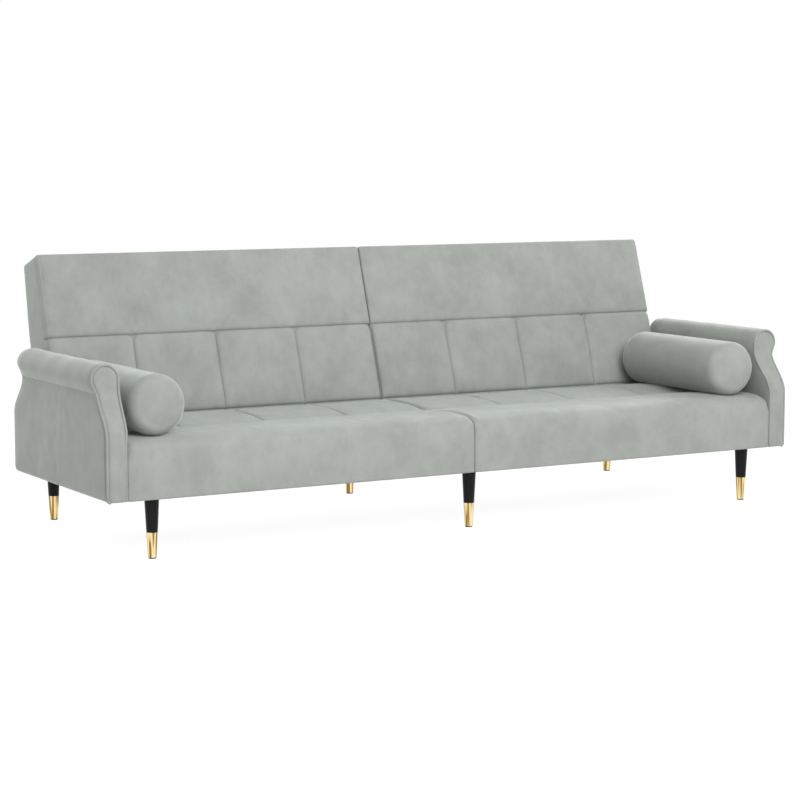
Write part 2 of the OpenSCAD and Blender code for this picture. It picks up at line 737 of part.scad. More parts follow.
module back_lip_board() color(board) on_back() box(half_gap + cover_t + soft_gap, core_n, lip_edge - back_lip,
    back_half_w - half_gap - 2 * cover_t - 2 * soft_gap, core_t, back_lip - lip_edge + lip_top_u);

module back_foam() color(foam) on_back() box(half_gap + cover_t + soft_gap, core_n, lip_top_u,
    back_half_w - half_gap - 2 * cover_t - 2 * soft_gap, core_t, back_len - cover_t - soft_gap - lip_top_u);

// Height that the backrest's front stands above its seams
function back_rise(x, u) = u > back_seam_u
    ? back_top_crown * puff((x - half_gap) / (back_half_w - half_gap))
        * puff((u - back_seam_u) / (back_len - back_seam_u))
    : u <= 0 ? 0
        : back_crown * smooth(u / nose_d)
            * puff(pad_share(x, back_half_w, seat_seam_x)) * puff(u / back_seam_u);

// Outline of the backrest's quilted pad at one station
function back_ring(x) = let (
    drop = back_round * max(edge_share(x - half_gap, back_round), edge_share(back_half_w - x, back_round)),
    top_u = back_len - back_round) concat(
    [[x, pad_t, -back_lip], [x, back_round + drop / 2, -back_lip]],
    [for (a = round_angles) [x, back_round * (1 - sin(a)) + drop, -back_lip + back_round * (1 - cos(a))]],
    [for (s = lip_shares) [x, drop, -back_lip + back_round + s * (back_lip - back_round)]],
    [for (s = low_pad_shares) let (u = s * back_seam_u) [x, drop - back_rise(x, u), u]],
    [[x, drop + seam_dip, back_seam_u]],
    [for (s = top_pad_shares) let (u = mix(back_seam_u, top_u, s)) [x, drop - back_rise(x, u), u]],
    [for (a = concat(0, round_angles)) let (u = top_u + (back_round - drop / 2) * sin(a))
        [x, drop + (back_round - drop / 2) * (1 - cos(a)) - (a == 0 ? back_rise(x, u) : 0), u]],
    [[x, back_round + drop, back_len - drop / 2], [x, pad_t, back_len - drop / 2]]);

module back_cushion() color(velvet) on_back() {
    rings = [for (x = stations(half_gap, back_half_w, seat_seam_x)) back_ring(x)];
    skin(rings, [half_gap, pad_t * cap_share + back_round / 2, back_seam_u],
        [back_half_w, pad_t * cap_share + back_round / 2, back_seam_u]);
}

// Bolsters
function bolster_profile() = let (
    flat_r = bolster_r - bolster_round,
    end_h = bolster_len - bolster_dome) concat(
    [for (s = dome_shares) [flat_r * s, bolster_dome * s * s]],
    [for (i = [1:bolster_steps]) let (a = 90 * i / bolster_steps)
        [flat_r + bolster_round * sin(a), bolster_dome + bolster_round * (1 - cos(a))]],
    [for (i = [bolster_steps:-1:1]) let (a = 90 * i / bolster_steps)
        [flat_r + bolster_round * sin(a), end_h - bolster_round * (1 - cos(a))]],
    [for (i = [len(dome_shares) - 1:-1:0]) let (s = dome_shares[i])
        [flat_r * s, bolster_len - bolster_dome * s * s]]);

module bolster() color(velvet) from_front()
    translate([inner_x - bolster_gap - bolster_r, bolster_y, bolster_z])
        rotate([-90, 0, 0]) rotate_extrude() polygon(bolster_profile());

front_rail();
rear_rail();
rear_rail_cover();
on_side(-1) side_runner();  // side_runner_left
on_side(1) side_runner();  // side_runner_right
middle_runners();
seat_side_rails();
seat_cross_rails();
seat_webbing();
on_side(-1) seat_foam();  // seat_foam_left
on_side(1) seat_foam();  // seat_foam_right
on_side(-1) seat_cushion();  // seat_cushion_left
on_side(1) seat_cushion();  // seat_cushion_right
dust_cover();
leg(-leg_x, leg_front_y);  // leg_front_left
leg(0, leg_front_y);  // leg_front_middle
leg(leg_x, leg_front_y);  // leg_front_right
leg(-leg_x, leg_rear_y);  // leg_rear_left
leg(0, leg_rear_y);  // leg_rear_middle
leg(leg_x, leg_rear_y);  // leg_rear_right
leg_ferrules();
leg_glides();
leg_plates();
leg_bolts();
plate_screws();
on_side(-1) arm_core();  // arm_core_left
on_side(1) arm_core();  // arm_core_right
on_side(-1) arm_pad();  // arm_pad_left
on_side(1) arm_pad();  // arm_pad_right
on_side(-1) arm_roll();  // arm_roll_left
on_side(1) arm_roll();  // arm_roll_right
on_side(-1) arm_facing();  // arm_facing_left
on_side(1) arm_facing();  // arm_facing_right
arm_bolts();
hinge_brackets();
hinge_pins();
ratchet_discs();
bracket_screws();
on_side(-1) back_stiles();  // back_stiles_left
on_side(1) back_stiles();  // back_stiles_right
on_side(-1) back_rails();  // back_rails_left
on_side(1) back_rails();  // back_rails_right
on_side(-1) back_webbing();  // back_webbing_left
on_side(1) back_webbing();  // back_webbing_right
on_side(-1) back_lip_board();  // back_lip_board_left
on_side(1) back_lip_board();  // back_lip_board_right
on_side(-1) back_foam();  // back_foam_left
on_side(1) back_foam();  // back_foam_right
on_side(-1) back_cushion();  // back_cushion_left
on_side(1) back_cushion();  // back_cushion_right
on_side(-1) back_cover();  // back_cover_left
on_side(1) back_cover();  // back_cover_right
on_side(-1) hinge_arms();  // hinge_arms_left
on_side(1) hinge_arms();  // hinge_arms_right
on_side(-1) arm_screws();  // arm_screws_left
on_side(1) arm_screws();  // arm_screws_right
on_side(-1) pawls();  // pawls_left
on_side(1) pawls();  // pawls_right
on_side(-1) bolster();  // bolster_left
bolster();  // bolster_right
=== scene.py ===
"""The looks of the sofa bed: velvet upholstery, piping, bolsters, frame and leg finishes.

Lengths are in metres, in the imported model's own frame: x to the right, y to the back, z up.
"""
import json
import math

import bmesh
import bpy
import numpy as np
from mathutils import Matrix, Vector


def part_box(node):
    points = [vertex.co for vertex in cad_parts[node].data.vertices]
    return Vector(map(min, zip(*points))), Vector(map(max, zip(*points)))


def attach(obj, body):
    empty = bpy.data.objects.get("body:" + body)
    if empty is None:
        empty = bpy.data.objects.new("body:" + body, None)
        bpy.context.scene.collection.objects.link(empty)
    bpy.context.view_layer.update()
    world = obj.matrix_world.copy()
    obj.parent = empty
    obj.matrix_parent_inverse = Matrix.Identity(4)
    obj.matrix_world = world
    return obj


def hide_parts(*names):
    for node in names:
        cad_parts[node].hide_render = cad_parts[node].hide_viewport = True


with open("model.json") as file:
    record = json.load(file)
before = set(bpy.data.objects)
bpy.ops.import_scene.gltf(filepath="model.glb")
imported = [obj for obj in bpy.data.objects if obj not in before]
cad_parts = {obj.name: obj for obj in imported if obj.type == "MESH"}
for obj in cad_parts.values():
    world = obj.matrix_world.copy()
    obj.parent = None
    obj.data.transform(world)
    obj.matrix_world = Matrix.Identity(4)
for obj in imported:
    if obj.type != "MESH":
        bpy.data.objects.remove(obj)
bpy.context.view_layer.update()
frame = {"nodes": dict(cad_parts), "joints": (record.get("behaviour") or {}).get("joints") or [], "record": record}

MM = 0.001
TINY = 1e-9
SIDES = ((-1, "left"), (1, "right"))

# Places taken from the frame
seat_lo, seat_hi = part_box("seat_cushion_right")
foam_lo, foam_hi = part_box("seat_foam_right")
pad_lo, pad_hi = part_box("arm_pad_right")
roll_lo, roll_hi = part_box("arm_roll_right")
face_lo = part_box("arm_facing_right")[0]
cover_lo, cover_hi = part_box("back_cover_right")
rail_lo, rail_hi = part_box("rear_rail_cover")
bolster_lo, bolster_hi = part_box("bolster_right")
joint = {j["name"]: j for j in frame["joints"]}["back_right_recline"]

FRONT_Y = face_lo.y
BODY_Z = seat_lo.z

# The seat's padding, which lies over its foam
PAD_T = 40 * MM
SOFT_GAP = 0.3 * MM
SEAT_Z = foam_hi.z + SOFT_GAP + PAD_T

# The backrest's slope, from its crease with the seat
TILT = math.radians(18.5)
HINGE_OFF = 80 * MM
crease_y = joint["pos_m"][1] - HINGE_OFF * (math.cos(TILT) - (1 - math.sin(TILT)) * math.tan(TILT))
SLOPE = np.array((0, math.sin(TILT), math.cos(TILT)))
REARWARD = np.array((0, math.cos(TILT), -math.sin(TILT)))

# Heights up the backrest's slope, and the depth of its lip
BACK_LEN = 473.5 * MM
BACK_LIP = 100 * MM
BACK_WAIST = -30 * MM
BACK_FOOT = 3 * MM
BACK_SEAM = 233 * MM
LIP_DEPTH = 52.3 * MM

# The backrest's depth at some heights, both in millimetres, and the shifts that its turns are averaged over
BACK_DEPTHS = {-30: 100, 120: 111, 240: 134, 473.5: 98}
BACK_EASES = [s * MM for s in (-36, -24, -12, 0, 12, 24, 36)]

# The block that the backrest is shaped from, and its stations from front to rear, in millimetres
BLOCK_T = 120 * MM
BLOCK_STATIONS = (0, 0.4, 1, 2, 3.2, 4.4, 5.4, 6.2, 7, 7.8, 9, 12, 18, 28, 42, 56, 70, 82, 92, 100, 106, 111,
                  115, 118, 119.4, 120)
BLOCK_SEAM = 7 * MM

# The pads, and the radii of the upholstery's corners
PADS = 4
BACK_PAD_R = 24 * MM
SEAT_PAD_R = 16 * MM
END_R = 12 * MM
TOP_R = 20 * MM
EDGE_R = 6 * MM
SEAM_R = 9 * MM

# The seat's profile: the rear face's shares of its height, the turns of the edge above it, and the hem's
# points in from the front and up from the foot, in millimetres
SEAT_SEAM_Y = FRONT_Y + 265 * MM
SEAT_REAR_Y = crease_y - 16 * MM
REAR_R = 18 * MM
REAR_SHARES = (0, 0.4, 0.8, 1)
REAR_TURNS = np.radians([20, 40, 60, 80])
REAR_ROWS = len(REAR_SHARES)
SEWN_ROW = REAR_ROWS + len(REAR_TURNS) - 1
NOSE_D = 50 * MM
NOSE_H = 25 * MM
BORDER_T = 12 * MM
HEM_H = 40 * MM
HEM_TURN = 6 * MM
HEM_FADE = 4 * MM
HEM_POINTS = ((0, 3.5), (0, 2.2), (0.5, 0.8), (1.8, 0))

# The rounding of the seat's sides: on the front, and what its top adds at the inner and the outer side
SIDE_R = 5 * MM
INNER_TOP_R = 7 * MM
OUTER_TOP_R = 17 * MM

# How high the seat's padding stands, and how deep its pads' edges, its front part's edge and the hollow at
# the seam between them lie, with the hollow's width
SEAT_CROWN = 1.5 * MM
SEAT_UNEVEN = 0.7 * MM
SEAT_TUCK = 5 * MM
FRONT_TUCK = 3 * MM
SEAT_HOLLOW = (8 * MM, 62 * MM)

# How deep the backrest's sewn lines lie, and how far each reaches: the pads' edges, the band's edge, where
# seams meet, the seam beside the end, and the foot
PAD_TUCK = (7 * MM, 13 * MM)
BAND_TUCK = (5 * MM, 9 * MM)
MEETING_TUCK = (1.6 * MM, 13 * MM)
END_TUCK = (1.6 * MM, 1.3 * MM)
FOOT_TUCKS = ((5 * MM, 45 * MM), (4 * MM, 8 * MM))

# How far in from an edge the padding reaches its full height
EDGE_FADE = 20 * MM

# The bolsters, and the trough that each presses into the seat
BOLSTER_SINK = 3.5 * MM
TROUGH_W = 42 * MM
TROUGH_FADE = 40 * MM
BOLSTER_DOME = 8 * MM
BOLSTER_ROUND = 30 * MM
BOLSTER_SIDES = 112

# The arms' profile. A curve is the height where it starts and the height over which it turns. A neck is the
# same, but its start is measured down from the middle of the roll.
ROLL_R = (roll_hi.x - roll_lo.x) / 2
ROLL_X = (roll_hi.x + roll_lo.x) / 2
ROLL_Z = (roll_hi.z + roll_lo.z) / 2
ARM_SETBACK = roll_lo.y - FRONT_Y - 6.3 * MM
ARM_REAR_SETBACK = 70 * MM
FRONT_CURVE = (ROLL_Z - 143 * MM, 122 * MM)
REAR_CURVE = (ROLL_Z - 143 * MM, 105 * MM)
NECK_IN = (128 * MM, 100 * MM)
NECK_OUT = (44 * MM, 46 * MM)
REAR_BULGE = 14 * MM
ARM_CORNER_R = 20 * MM
ARM_SEAM_Z = ROLL_Z - 38 * MM
ARM_BARE_H = 12 * MM
PIPING_R = 3.7 * MM
PIPING_PROUD = 2.6 * MM

# The facing: how far the front of its piping and the bulge beyond that stand out, the drop at its rim, the
# rim's width, and the roundings beside the rim and at the foot
FACING_PROUD = 3.4 * MM
FACING_BULGE = 1.6 * MM
FACING_DROP = 6.5 * MM
FACING_RIM = 4.5 * MM
FACING_R = 11 * MM
FACING_FOOT_R = 5 * MM

# The groove behind the piping, as depth, place and width, and the dent at the arm's seam, as depth and width
PIPING_GROOVE = (2.2 * MM, 3.8 * MM, 1.5 * MM)
SEAM_DENT = (3.2 * MM, 5 * MM)

# The length that stands for an arm's depth, its closer stations at the front, and its stations across as
# shares of its width
ARM_SPAN = 0.6
ARM_FINE = [f * MM for f in (0.8, 1.8, 2.8, 3.8, 4.8, 6, 8, 11, 15, 20)]
ARM_SHARES = (0, 0.006, 0.02, 0.045, 0.07, 0.1, 0.135, 0.18, 0.24, 0.31, 0.38, 0.44)

# The cloths, and the stations of the finished skins, which are closer beside a seam
CLOTH_FRAMES = 20
CLOTH_STEP = 10.5 * MM
FOAM_HOLD = 0.2
SWELL_CAP = 12 * MM
SKIN_STEP = 9 * MM
FINE = [f * MM for f in (0.7, 1.6, 3, 5, 8, 10.5, 12, 13.5, 17)]
QUARTER_TURN = np.linspace(0, math.pi / 2, 11)[1:]

# The uneven fields of the padding: how long their waves are, and their seeds, which each side shifts by one
WAVES = 10
WAVE_SUM = 3.2
FIELDS = {
    "seat_cloth": (0.11, 11), "seat_skin": (0.16, 21),
    "back_cloth": (0.1, 31), "back_front": (0.13, 41), "back_rear": (0.2, 51),
    "arm_facing": (0.09, 61), "arm_inner": (0.12, 71), "arm_outer": (0.14, 81),
    "bolster_across": (0.12, 91), "bolster_over": (0.15, 95),
    "foam": (0.2, 101), "rear_rail": (0.15, 131), "dust_sheet": (0.2, 141),
}

# The surroundings: the world's level, the floor, and each lamp's place, size and power
WORLD_LEVEL = 0.3
FLOOR_HALF = 12.0
FLOOR_ALBEDO = 0.85
FLOOR_PALE = 0.15
FLOOR_GLOW = 0.95
LAMP_TARGET = Vector((0, 0, 0.3))
LAMPS = {
    "front": ((-0.3, -3.8, 3.4), 3.0, 190.0),
    "rear_right": ((3.4, 2.4, 3.0), 2.4, 98.0),
    "rear_left": ((-3.4, 2.8, 2.2), 2.4, 62.0),
    "right": ((4.2, 0.0, 2.4), 2.4, 42.0),
}

# The camera, from the photograph's fitted view
SENSOR_W = 36.0
LENS = 100.36
CLIP_END = 60.0
YAW, PITCH = 0.5228, 0.1143
CAMERA_PLACE = (-3.2537, FRONT_Y - 5.2273, 1.0674)


def new_object(name, data):
    """A new object in the scene."""
    made = bpy.data.objects.new(name, data)
    bpy.context.scene.collection.objects.link(made)
    return made


def add_camera():
    data = bpy.data.cameras.new("camera")
    data.sensor_width = SENSOR_W
    data.lens = LENS
    data.clip_end = CLIP_END
    camera = new_object("camera", data)
    ahead = Vector((math.sin(YAW) * math.cos(PITCH), math.cos(YAW) * math.cos(PITCH), -math.sin(PITCH)))
    right = Vector((math.cos(YAW), -math.sin(YAW), 0))
    up = right.cross(ahead)
    turn = Matrix((right, up, -ahead)).transposed().to_4x4()
    camera.matrix_world = Matrix.Translation(CAMERA_PLACE) @ turn
    bpy.context.scene.camera = camera


# Small maths
def smooth(t):
    """A soft step, from 0 at 0 to 1 at 1."""
    t = np.clip(t, 0, 1)
    return t * t * (3 - 2 * t)


def between(v, low, high, fade):
    """A soft step up behind low and down again before high."""
    return smooth((v - low) / fade) * smooth((high - v) / fade)


def drop_share(d, r):
    """Share of a rounded edge's radius that the surface has dropped, at a distance d from the edge."""
    t = np.clip(1 - np.clip(d, 0, None) / r, 0, 1)
    return 1 - np.sqrt(1 - t * t)


def puff(f):
    """A full crown between 0 and 1, with steep edges."""
    return np.clip(np.sin(np.pi * np.clip(f, 0, 1)), 0, None) ** 0.5


def bell(d, width):
    """A soft ridge of height 1 along the places where d is 0."""
    return np.exp(-(d / width) ** 2)


def uneven(a, b, name, side=0):
    """A smooth random field over two grids of places, mostly from -1 to 1."""
    size, seed = FIELDS[name]
    draw = np.random.default_rng(seed + side)
    field = 0
    for _ in range(WAVES):
        turn, phase = draw.uniform(0, 2 * np.pi, 2)
        wave = 2 * np.pi / (size * draw.uniform(0.7, 1.7))
        field = field + np.sin(wave * (a * np.cos(turn) + b * np.sin(turn)) + phase)
    return field / WAVE_SUM


def way_along(line):
    """How far along a line each of its points lies."""
    return np.concatenate([[0], np.cumsum(np.linalg.norm(np.diff(line, axis=0), axis=1))])


def headings(line):
    """Unit directions of a line at its points."""
    ahead = np.gradient(line, axis=0)
    return ahead / np.linalg.norm(ahead, axis=1)[:, None]


def steps(start, end, step=SKIN_STEP, ends=(True, True)):
    """Stations from start to end, about a step apart, with closer ones at the chosen ends."""
    sign = 1 if end > start else -1
    low = [start] + ([start + sign * f for f in FINE] if ends[0] else [])
    high = ([end - sign * f for f in reversed(FINE)] if ends[1] else []) + [end]
    count = max(1, round(abs(high[0] - low[-1]) / step))
    return np.array(low + list(np.linspace(low[-1], high[0], count + 1)[1:-1]) + high)


def joined(*parts):
    """Runs of stations joined end to end, with each shared one kept once."""
    return np.concatenate([parts[0]] + [part[1:] for part in parts[1:]])


def even(keys, step=CLOTH_STEP):
    """Stations through the keys, evenly spaced between them by about a step."""
    counts = [max(1, round(abs(b - a) / step)) for a, b in zip(keys[:-1], keys[1:])]
    return joined(*[np.linspace(a, b, n + 1) for a, b, n in zip(keys[:-1], keys[1:], counts)])


def turned(a, b, end_a, end_b, way_a, way_b, r):
    """Rounds the corner of two sides: places a and b near the ends, whose insides lie the given ways."""
    pa, pb = r - np.abs(a - end_a), r - np.abs(b - end_b)
    near = (pa > 0) & (pb > 0)
    share = np.where(near, np.maximum(pa, pb) / np.maximum(np.hypot(pa, pb), TINY), 1)
    round_a, round_b = end_a + way_a * (r - pa * share), end_b + way_b * (r - pb * share)
    return np.where(near, round_a, a), np.where(near, round_b, b)


def pad_stations(x0, x1):
    """Stations across one half, with its pads' seams among them, and the seams themselves."""
    seams = [cover_hi.x / PADS * i for i in range(1, PADS)]
    edges = [x0] + seams + [x1]
    return joined(*[steps(a, b) for a, b in zip(edges[:-1], edges[1:])]), np.array(edges)


def pad_depth(x, v, edges, low, high, corner):
    """Distance of each point in from the edge of its pad. The pads' corners at the high side are rounded."""
    cell = np.clip(np.searchsorted(edges, x, side="right") - 1, 0, len(edges) - 2)
    middle = (edges[cell] + edges[cell + 1]) / 2
    half = (edges[cell + 1] - edges[cell]) / 2
    qx = np.abs(x - middle) - half + corner
    qv = np.where(v > (low + high) / 2, v - high, low - 2 * corner - v) + corner
    past = np.hypot(np.clip(qx, 0, None), np.clip(qv, 0, None))
    return corner - (past + np.clip(np.maximum(qx, qv), None, 0))


def sew_round(held):
    """Marks the rim of a cloth's grid of points as sewn down."""
    held[0] = held[-1] = held[:, 0] = held[:, -1] = True


def spread(field, rows, all_rows, cols, all_cols):
    """A field known at some rows and columns of a grid, worked out at all of them."""
    half = np.stack([[np.interp(all_cols, cols, row) for row in field[..., c]]
                     for c in range(field.shape[2])], -1)
    return np.stack([np.stack([np.interp(all_rows, rows, col) for col in half[..., c].T], 1)
                     for c in range(field.shape[2])], -1)


def grid_faces(index):
    """Quads between the points of a grid, given their numbers."""
    return np.stack([index[:-1, :-1], index[1:, :-1], index[1:, 1:], index[:-1, 1:]], -1).reshape(-1, 4)


# Cloth
skins = []


def hang_skin(points, held, outward, pressure, slack=0.002, round_way=False):
    """Sets up a cloth over a grid of points for swell_skins() to run: sewn down where held is true, and
    drawn to the padding below it elsewhere."""
    index = np.arange(held.size).reshape(held.shape)
    if round_way:
        index = np.concatenate([index, index[:1]])
    faces = grid_faces(index)
    a, b, c = (points.reshape(-1, 3)[faces[:, k]] for k in (0, 1, 3))
    if (np.cross(b - a, c - a) * outward.reshape(-1, 3)[faces[:, 0]]).sum() < 0:
        faces = faces[:, ::-1]
    mesh = bpy.data.meshes.new("skin")
    mesh.from_pydata(points.reshape(-1, 3).tolist(), [], faces.tolist())
    piece = new_object("skin", mesh)
    group = piece.vertex_groups.new(name="held")
    group.add(np.flatnonzero(held).tolist(), 1.0, "REPLACE")
    group.add(np.flatnonzero(~held).tolist(), FOAM_HOLD, "REPLACE")
    cloth = piece.modifiers.new("cloth", "CLOTH")
    cloth.point_cache.frame_end = CLOTH_FRAMES
    s = cloth.settings
    s.quality = 5
    s.mass = 0.3
    s.tension_stiffness = s.compression_stiffness = 25.0
    s.shear_stiffness = 8.0
    s.bending_stiffness = 1.0
    s.air_damping = 2.0
    s.vertex_group_mass = "held"
    s.use_pressure = True
    s.uniform_pressure_force = pressure
    s.shrink_min = -slack
    s.effector_weights.gravity = 0.0
    skins.append({"piece": piece, "start": points, "moved": np.zeros_like(points)})
    return skins[-1]


def swell_skins():
    """Runs all the cloths together, and keeps how far each point moved."""
    for number in range(1, CLOTH_FRAMES + 1):
        bpy.context.scene.frame_set(number)
    seen = bpy.context.evaluated_depsgraph_get()
    for skin in skins:
        mesh = skin["piece"].evaluated_get(seen).to_mesh()
        flat = np.zeros(len(mesh.vertices) * 3)
        mesh.vertices.foreach_get("co", flat)
        moved = flat.reshape(skin["start"].shape) - skin["start"]
        far = np.linalg.norm(moved, axis=-1, keepdims=True)
        skin["moved"] = moved * np.minimum(1, SWELL_CAP / np.maximum(far, TINY))
    for skin in skins:
        mesh = skin["piece"].data
        bpy.data.objects.remove(skin["piece"])
        bpy.data.meshes.remove(mesh)
    bpy.context.scene.frame_set(1)


# Meshes
def shell_faces(shape):
    """Quads over the six sides of a block of points of the given shape."""
    index = np.arange(np.prod(shape)).reshape(shape)
    sides = []
    for axis in range(3):
        for end, flip in ((0, False), (-1, True)):
            quad = grid_faces(np.take(index, end, axis=axis))
            sides.append(quad[:, ::-1] if flip else quad)
    return np.concatenate(sides)


def new_mesh(name, points, faces, merge=1e-5):
    """A smooth-shaded mesh object, with points that coincide merged and its normals facing out."""
    mesh = bpy.data.meshes.new(name)
    mesh.from_pydata([tuple(p) for p in points], [], [tuple(f) for f in faces])
    bm = bmesh.new()
    bm.from_mesh(mesh)
    bmesh.ops.delete(bm, geom=[v for v in bm.verts if not v.link_faces], context="VERTS")
    bmesh.ops.remove_doubles(bm, verts=bm.verts, dist=merge)
    bmesh.ops.dissolve_degenerate(bm, dist=merge / 2, edges=bm.edges)
    bmesh.ops.recalc_face_normals(bm, faces=bm.faces)
    for face in bm.faces:
        face.smooth = True
    bm.to_mesh(mesh)
    bm.free()
    mesh.update()
    return new_object(name, mesh)


def block(name, points, side):
    """The closed skin of a block of points, on the chosen side of the sofa."""
    flat = points.reshape(-1, 3) * np.array([side, 1, 1])
    return new_mesh(name, flat, shell_faces(points.shape[:3]))


def ring_faces(rings, sides):
    """Quads between rings of points that follow each other."""
    pairs = [(j, (j + 1) % sides) for j in range(sides)]
    return [(i + j, i + k, i + sides + k, i + sides + j)
            for i in range(0, (rings - 1) * sides, sides) for j, k in pairs]


def tube(name, path, radius, side, sides=12):
    """A closed tube along a path of points, with flat ends."""
    ahead = headings(path)
    normal = np.zeros_like(path)
    normal[0] = np.cross(ahead[0], (1.0, 0.0, 0.0))
    for i in range(len(path)):
        if i:
            normal[i] = normal[i - 1]
        normal[i] -= normal[i] @ ahead[i] * ahead[i]
        normal[i] /= np.linalg.norm(normal[i])
    across = np.cross(ahead, normal)
    turn = np.linspace(0, 2 * np.pi, sides, endpoint=False)
    rings = (path[:, None] + radius * (np.cos(turn)[None, :, None] * normal[:, None]
                                       + np.sin(turn)[None, :, None] * across[:, None]))
    points = np.concatenate([rings.reshape(-1, 3), path[:1], path[-1:]]) * np.array([side, 1, 1])
    faces = ring_faces(len(path), sides)
    last = (len(path) - 1) * sides
    for j in range(sides):
        k = (j + 1) % sides
        faces.append((len(points) - 2, k, j))
        faces.append((len(points) - 1, last + j, last + k))
    return new_mesh(name, points, faces, merge=1e-6)


# Seat
def seat_profile():
    """Outer and inner lines of the seat's padding in depth and height, from the crease round to the foot."""
    rear_low = SEAT_REAR_Y - PAD_T * math.tan(TILT)
    outer = [(rear_low + s * (SEAT_REAR_Y - rear_low), SEAT_Z - PAD_T + s * (PAD_T - REAR_R))
             for s in REAR_SHARES]
    outer += [(SEAT_REAR_Y - REAR_R * (1 - math.cos(a)), SEAT_Z - REAR_R * (1 - math.sin(a)))
              for a in REAR_TURNS]
    crown = joined(steps(SEAT_REAR_Y - REAR_R, SEAT_SEAM_Y, ends=(False, True)),
                   steps(SEAT_SEAM_Y, FRONT_Y + NOSE_D, ends=(True, False)))
    outer += [(y, SEAT_Z) for y in crown]
    outer += [(FRONT_Y + NOSE_D * (1 - math.sin(a)), SEAT_Z - NOSE_H * (1 - math.cos(a)))
              for a in QUARTER_TURN]
    outer += [(FRONT_Y, z) for z in np.linspace(SEAT_Z - NOSE_H, BODY_Z + HEM_TURN, 16)[1:]]
    outer += [(FRONT_Y + f * MM, BODY_Z + h * MM) for f, h in HEM_POINTS]
    outer = np.array(outer)
    corner = np.array([FRONT_Y + BORDER_T, SEAT_Z - PAD_T])
    inner = np.array([(min(max(y, corner[0]), SEAT_REAR_Y), min(z, corner[1])) for y, z in outer])
    inner[:REAR_ROWS, 0] = rear_low - 4 * MM
    return outer, inner


def line_normals(line, up_at):
    """Unit normals of a line in depth and height, on the side that faces up at a given point of it."""
    ahead = headings(line)
    normal = np.stack([-ahead[:, 1], ahead[:, 0]], -1)
    return normal * np.sign(normal[up_at, 1])


def add_seat(side, label):
    """One half of the seat, in two steps: its cloth, and the finished piece once the cloths have run."""
    x0, x1 = seat_lo.x, seat_hi.x
    outer, inner = seat_profile()
    xs, edges = pad_stations(x0, x1)
    y, z = outer[:, 0], outer[:, 1]
    seam_row = int(np.argmin(np.abs(y - SEAT_SEAM_Y)))
    normal = line_normals(outer, seam_row)
    along = way_along(outer)
    X, V = np.meshgrid(xs, along, indexing="ij")

    cloth_x = even(edges)
    cloth_v = even([along[SEWN_ROW], along[seam_row], along[-1]])
    path = np.stack([np.interp(cloth_v, along, outer[:, k]) for k in (0, 1)], -1)
    facing = np.stack([np.interp(cloth_v, along, normal[:, k]) for k in (0, 1)], -1)
    CX, CV = np.meshgrid(cloth_x, cloth_v, indexing="ij")
    points = np.zeros((*CX.shape, 3))
    points[..., 0] = side * CX
    points[..., 1:] = path + (0.5 * MM * uneven(CX, CV, "seat_cloth", side))[..., None] * facing
    outward = np.zeros(points.shape)
    outward[..., 1:] = facing
    on_seam = np.isclose(CX[..., None], edges[1:-1]).any(-1) & (CV <= along[seam_row])
    held = on_seam | np.isclose(CV, along[seam_row])
    sew_round(held)
    skin = hang_skin(points, held, outward, pressure=6.0)
    yield

    moved = spread(skin["moved"], cloth_x, xs, cloth_v, along)
    moved[:, :SEWN_ROW] = 0
    moved[..., 0] *= side
    hem = int(np.argmax((z < BODY_Z + HEM_H) & (y < SEAT_SEAM_Y)))
    moved[:, hem:, 1] = moved[:, hem:hem + 1, 1]
    top = smooth((z - (SEAT_Z - 2 * NOSE_H)) / NOSE_H)[None]
    inner_r = SIDE_R + INNER_TOP_R * top
    outer_r = SIDE_R + OUTER_TOP_R * top
    inner_drop = 0.8 * inner_r * drop_share(xs[:, None] - x0, inner_r)
    outer_drop = 0.8 * outer_r * drop_share(x1 - xs[:, None], outer_r)
    depth = pad_depth(X, -np.broadcast_to(y, X.shape), edges, -SEAT_REAR_Y, -SEAT_SEAM_Y, SEAT_PAD_R)
    rear = (y > SEAT_SEAM_Y)[None]
    front_tuck = FRONT_TUCK * drop_share(SEAT_SEAM_Y - y, SEAM_R)
    tuck = np.where(rear, SEAT_TUCK * drop_share(depth, SEAM_R), front_tuck[None])
    tuck = (tuck + SEAT_HOLLOW[0] * bell(y - SEAT_SEAM_Y, SEAT_HOLLOW[1])[None]) * top
    edge_fade = between(xs, x0, x1, EDGE_FADE)
    under_bolster = between(y, bolster_lo.y, bolster_hi.y, TROUGH_FADE)
    from_bolster = xs - (bolster_lo.x + bolster_hi.x) / 2
    trough = BOLSTER_SINK * bell(from_bolster, TROUGH_W)[:, None] * under_bolster[None]
    rise = (SEAT_CROWN + SEAT_UNEVEN * uneven(X, V, "seat_skin", side)) * edge_fade[:, None]
    rise = rise * smooth((z - BODY_Z) / HEM_FADE)[None] - tuck - inner_drop - outer_drop - trough * top
    rise[:, :REAR_ROWS] = 0
    over, under = np.zeros_like(moved), np.zeros_like(moved)
    over[..., 0], under[..., 0] = X + moved[..., 0], X
    over[..., 1:], under[..., 1:] = outer + moved[..., 1:] + rise[..., None] * normal, inner
    points = np.stack([over + (under - over) * s for s in (0, 0.5, 1)], axis=2)
    piece = block(f"seat_upholstery_{label}", points, side)
    finish_piece(piece, "base", "velvet", f"seat_cushion_{label}")


# Backrest
def back_depth(u):
    """The backrest's thickness at each height up its slope, with the turns in its rear eased."""
    knots = sorted(BACK_DEPTHS)
    near = [np.interp((u + ease) / MM, knots, [BACK_DEPTHS[k] for k in knots]) for ease in BACK_EASES]
    return np.mean(near, axis=0) * MM


def on_slope(x, u, n):
    """Places on the backrest: across, up its slope and rearward from its front."""
    x, u, n = np.broadcast_arrays(x, u, n)
    place = np.zeros((*x.shape, 3))
    place[..., 0] = x
    place[..., 1] = crease_y + n * REARWARD[1] + u * SLOPE[1]
    place[..., 2] = SEAT_Z + n * REARWARD[2] + u * SLOPE[2]
    return place


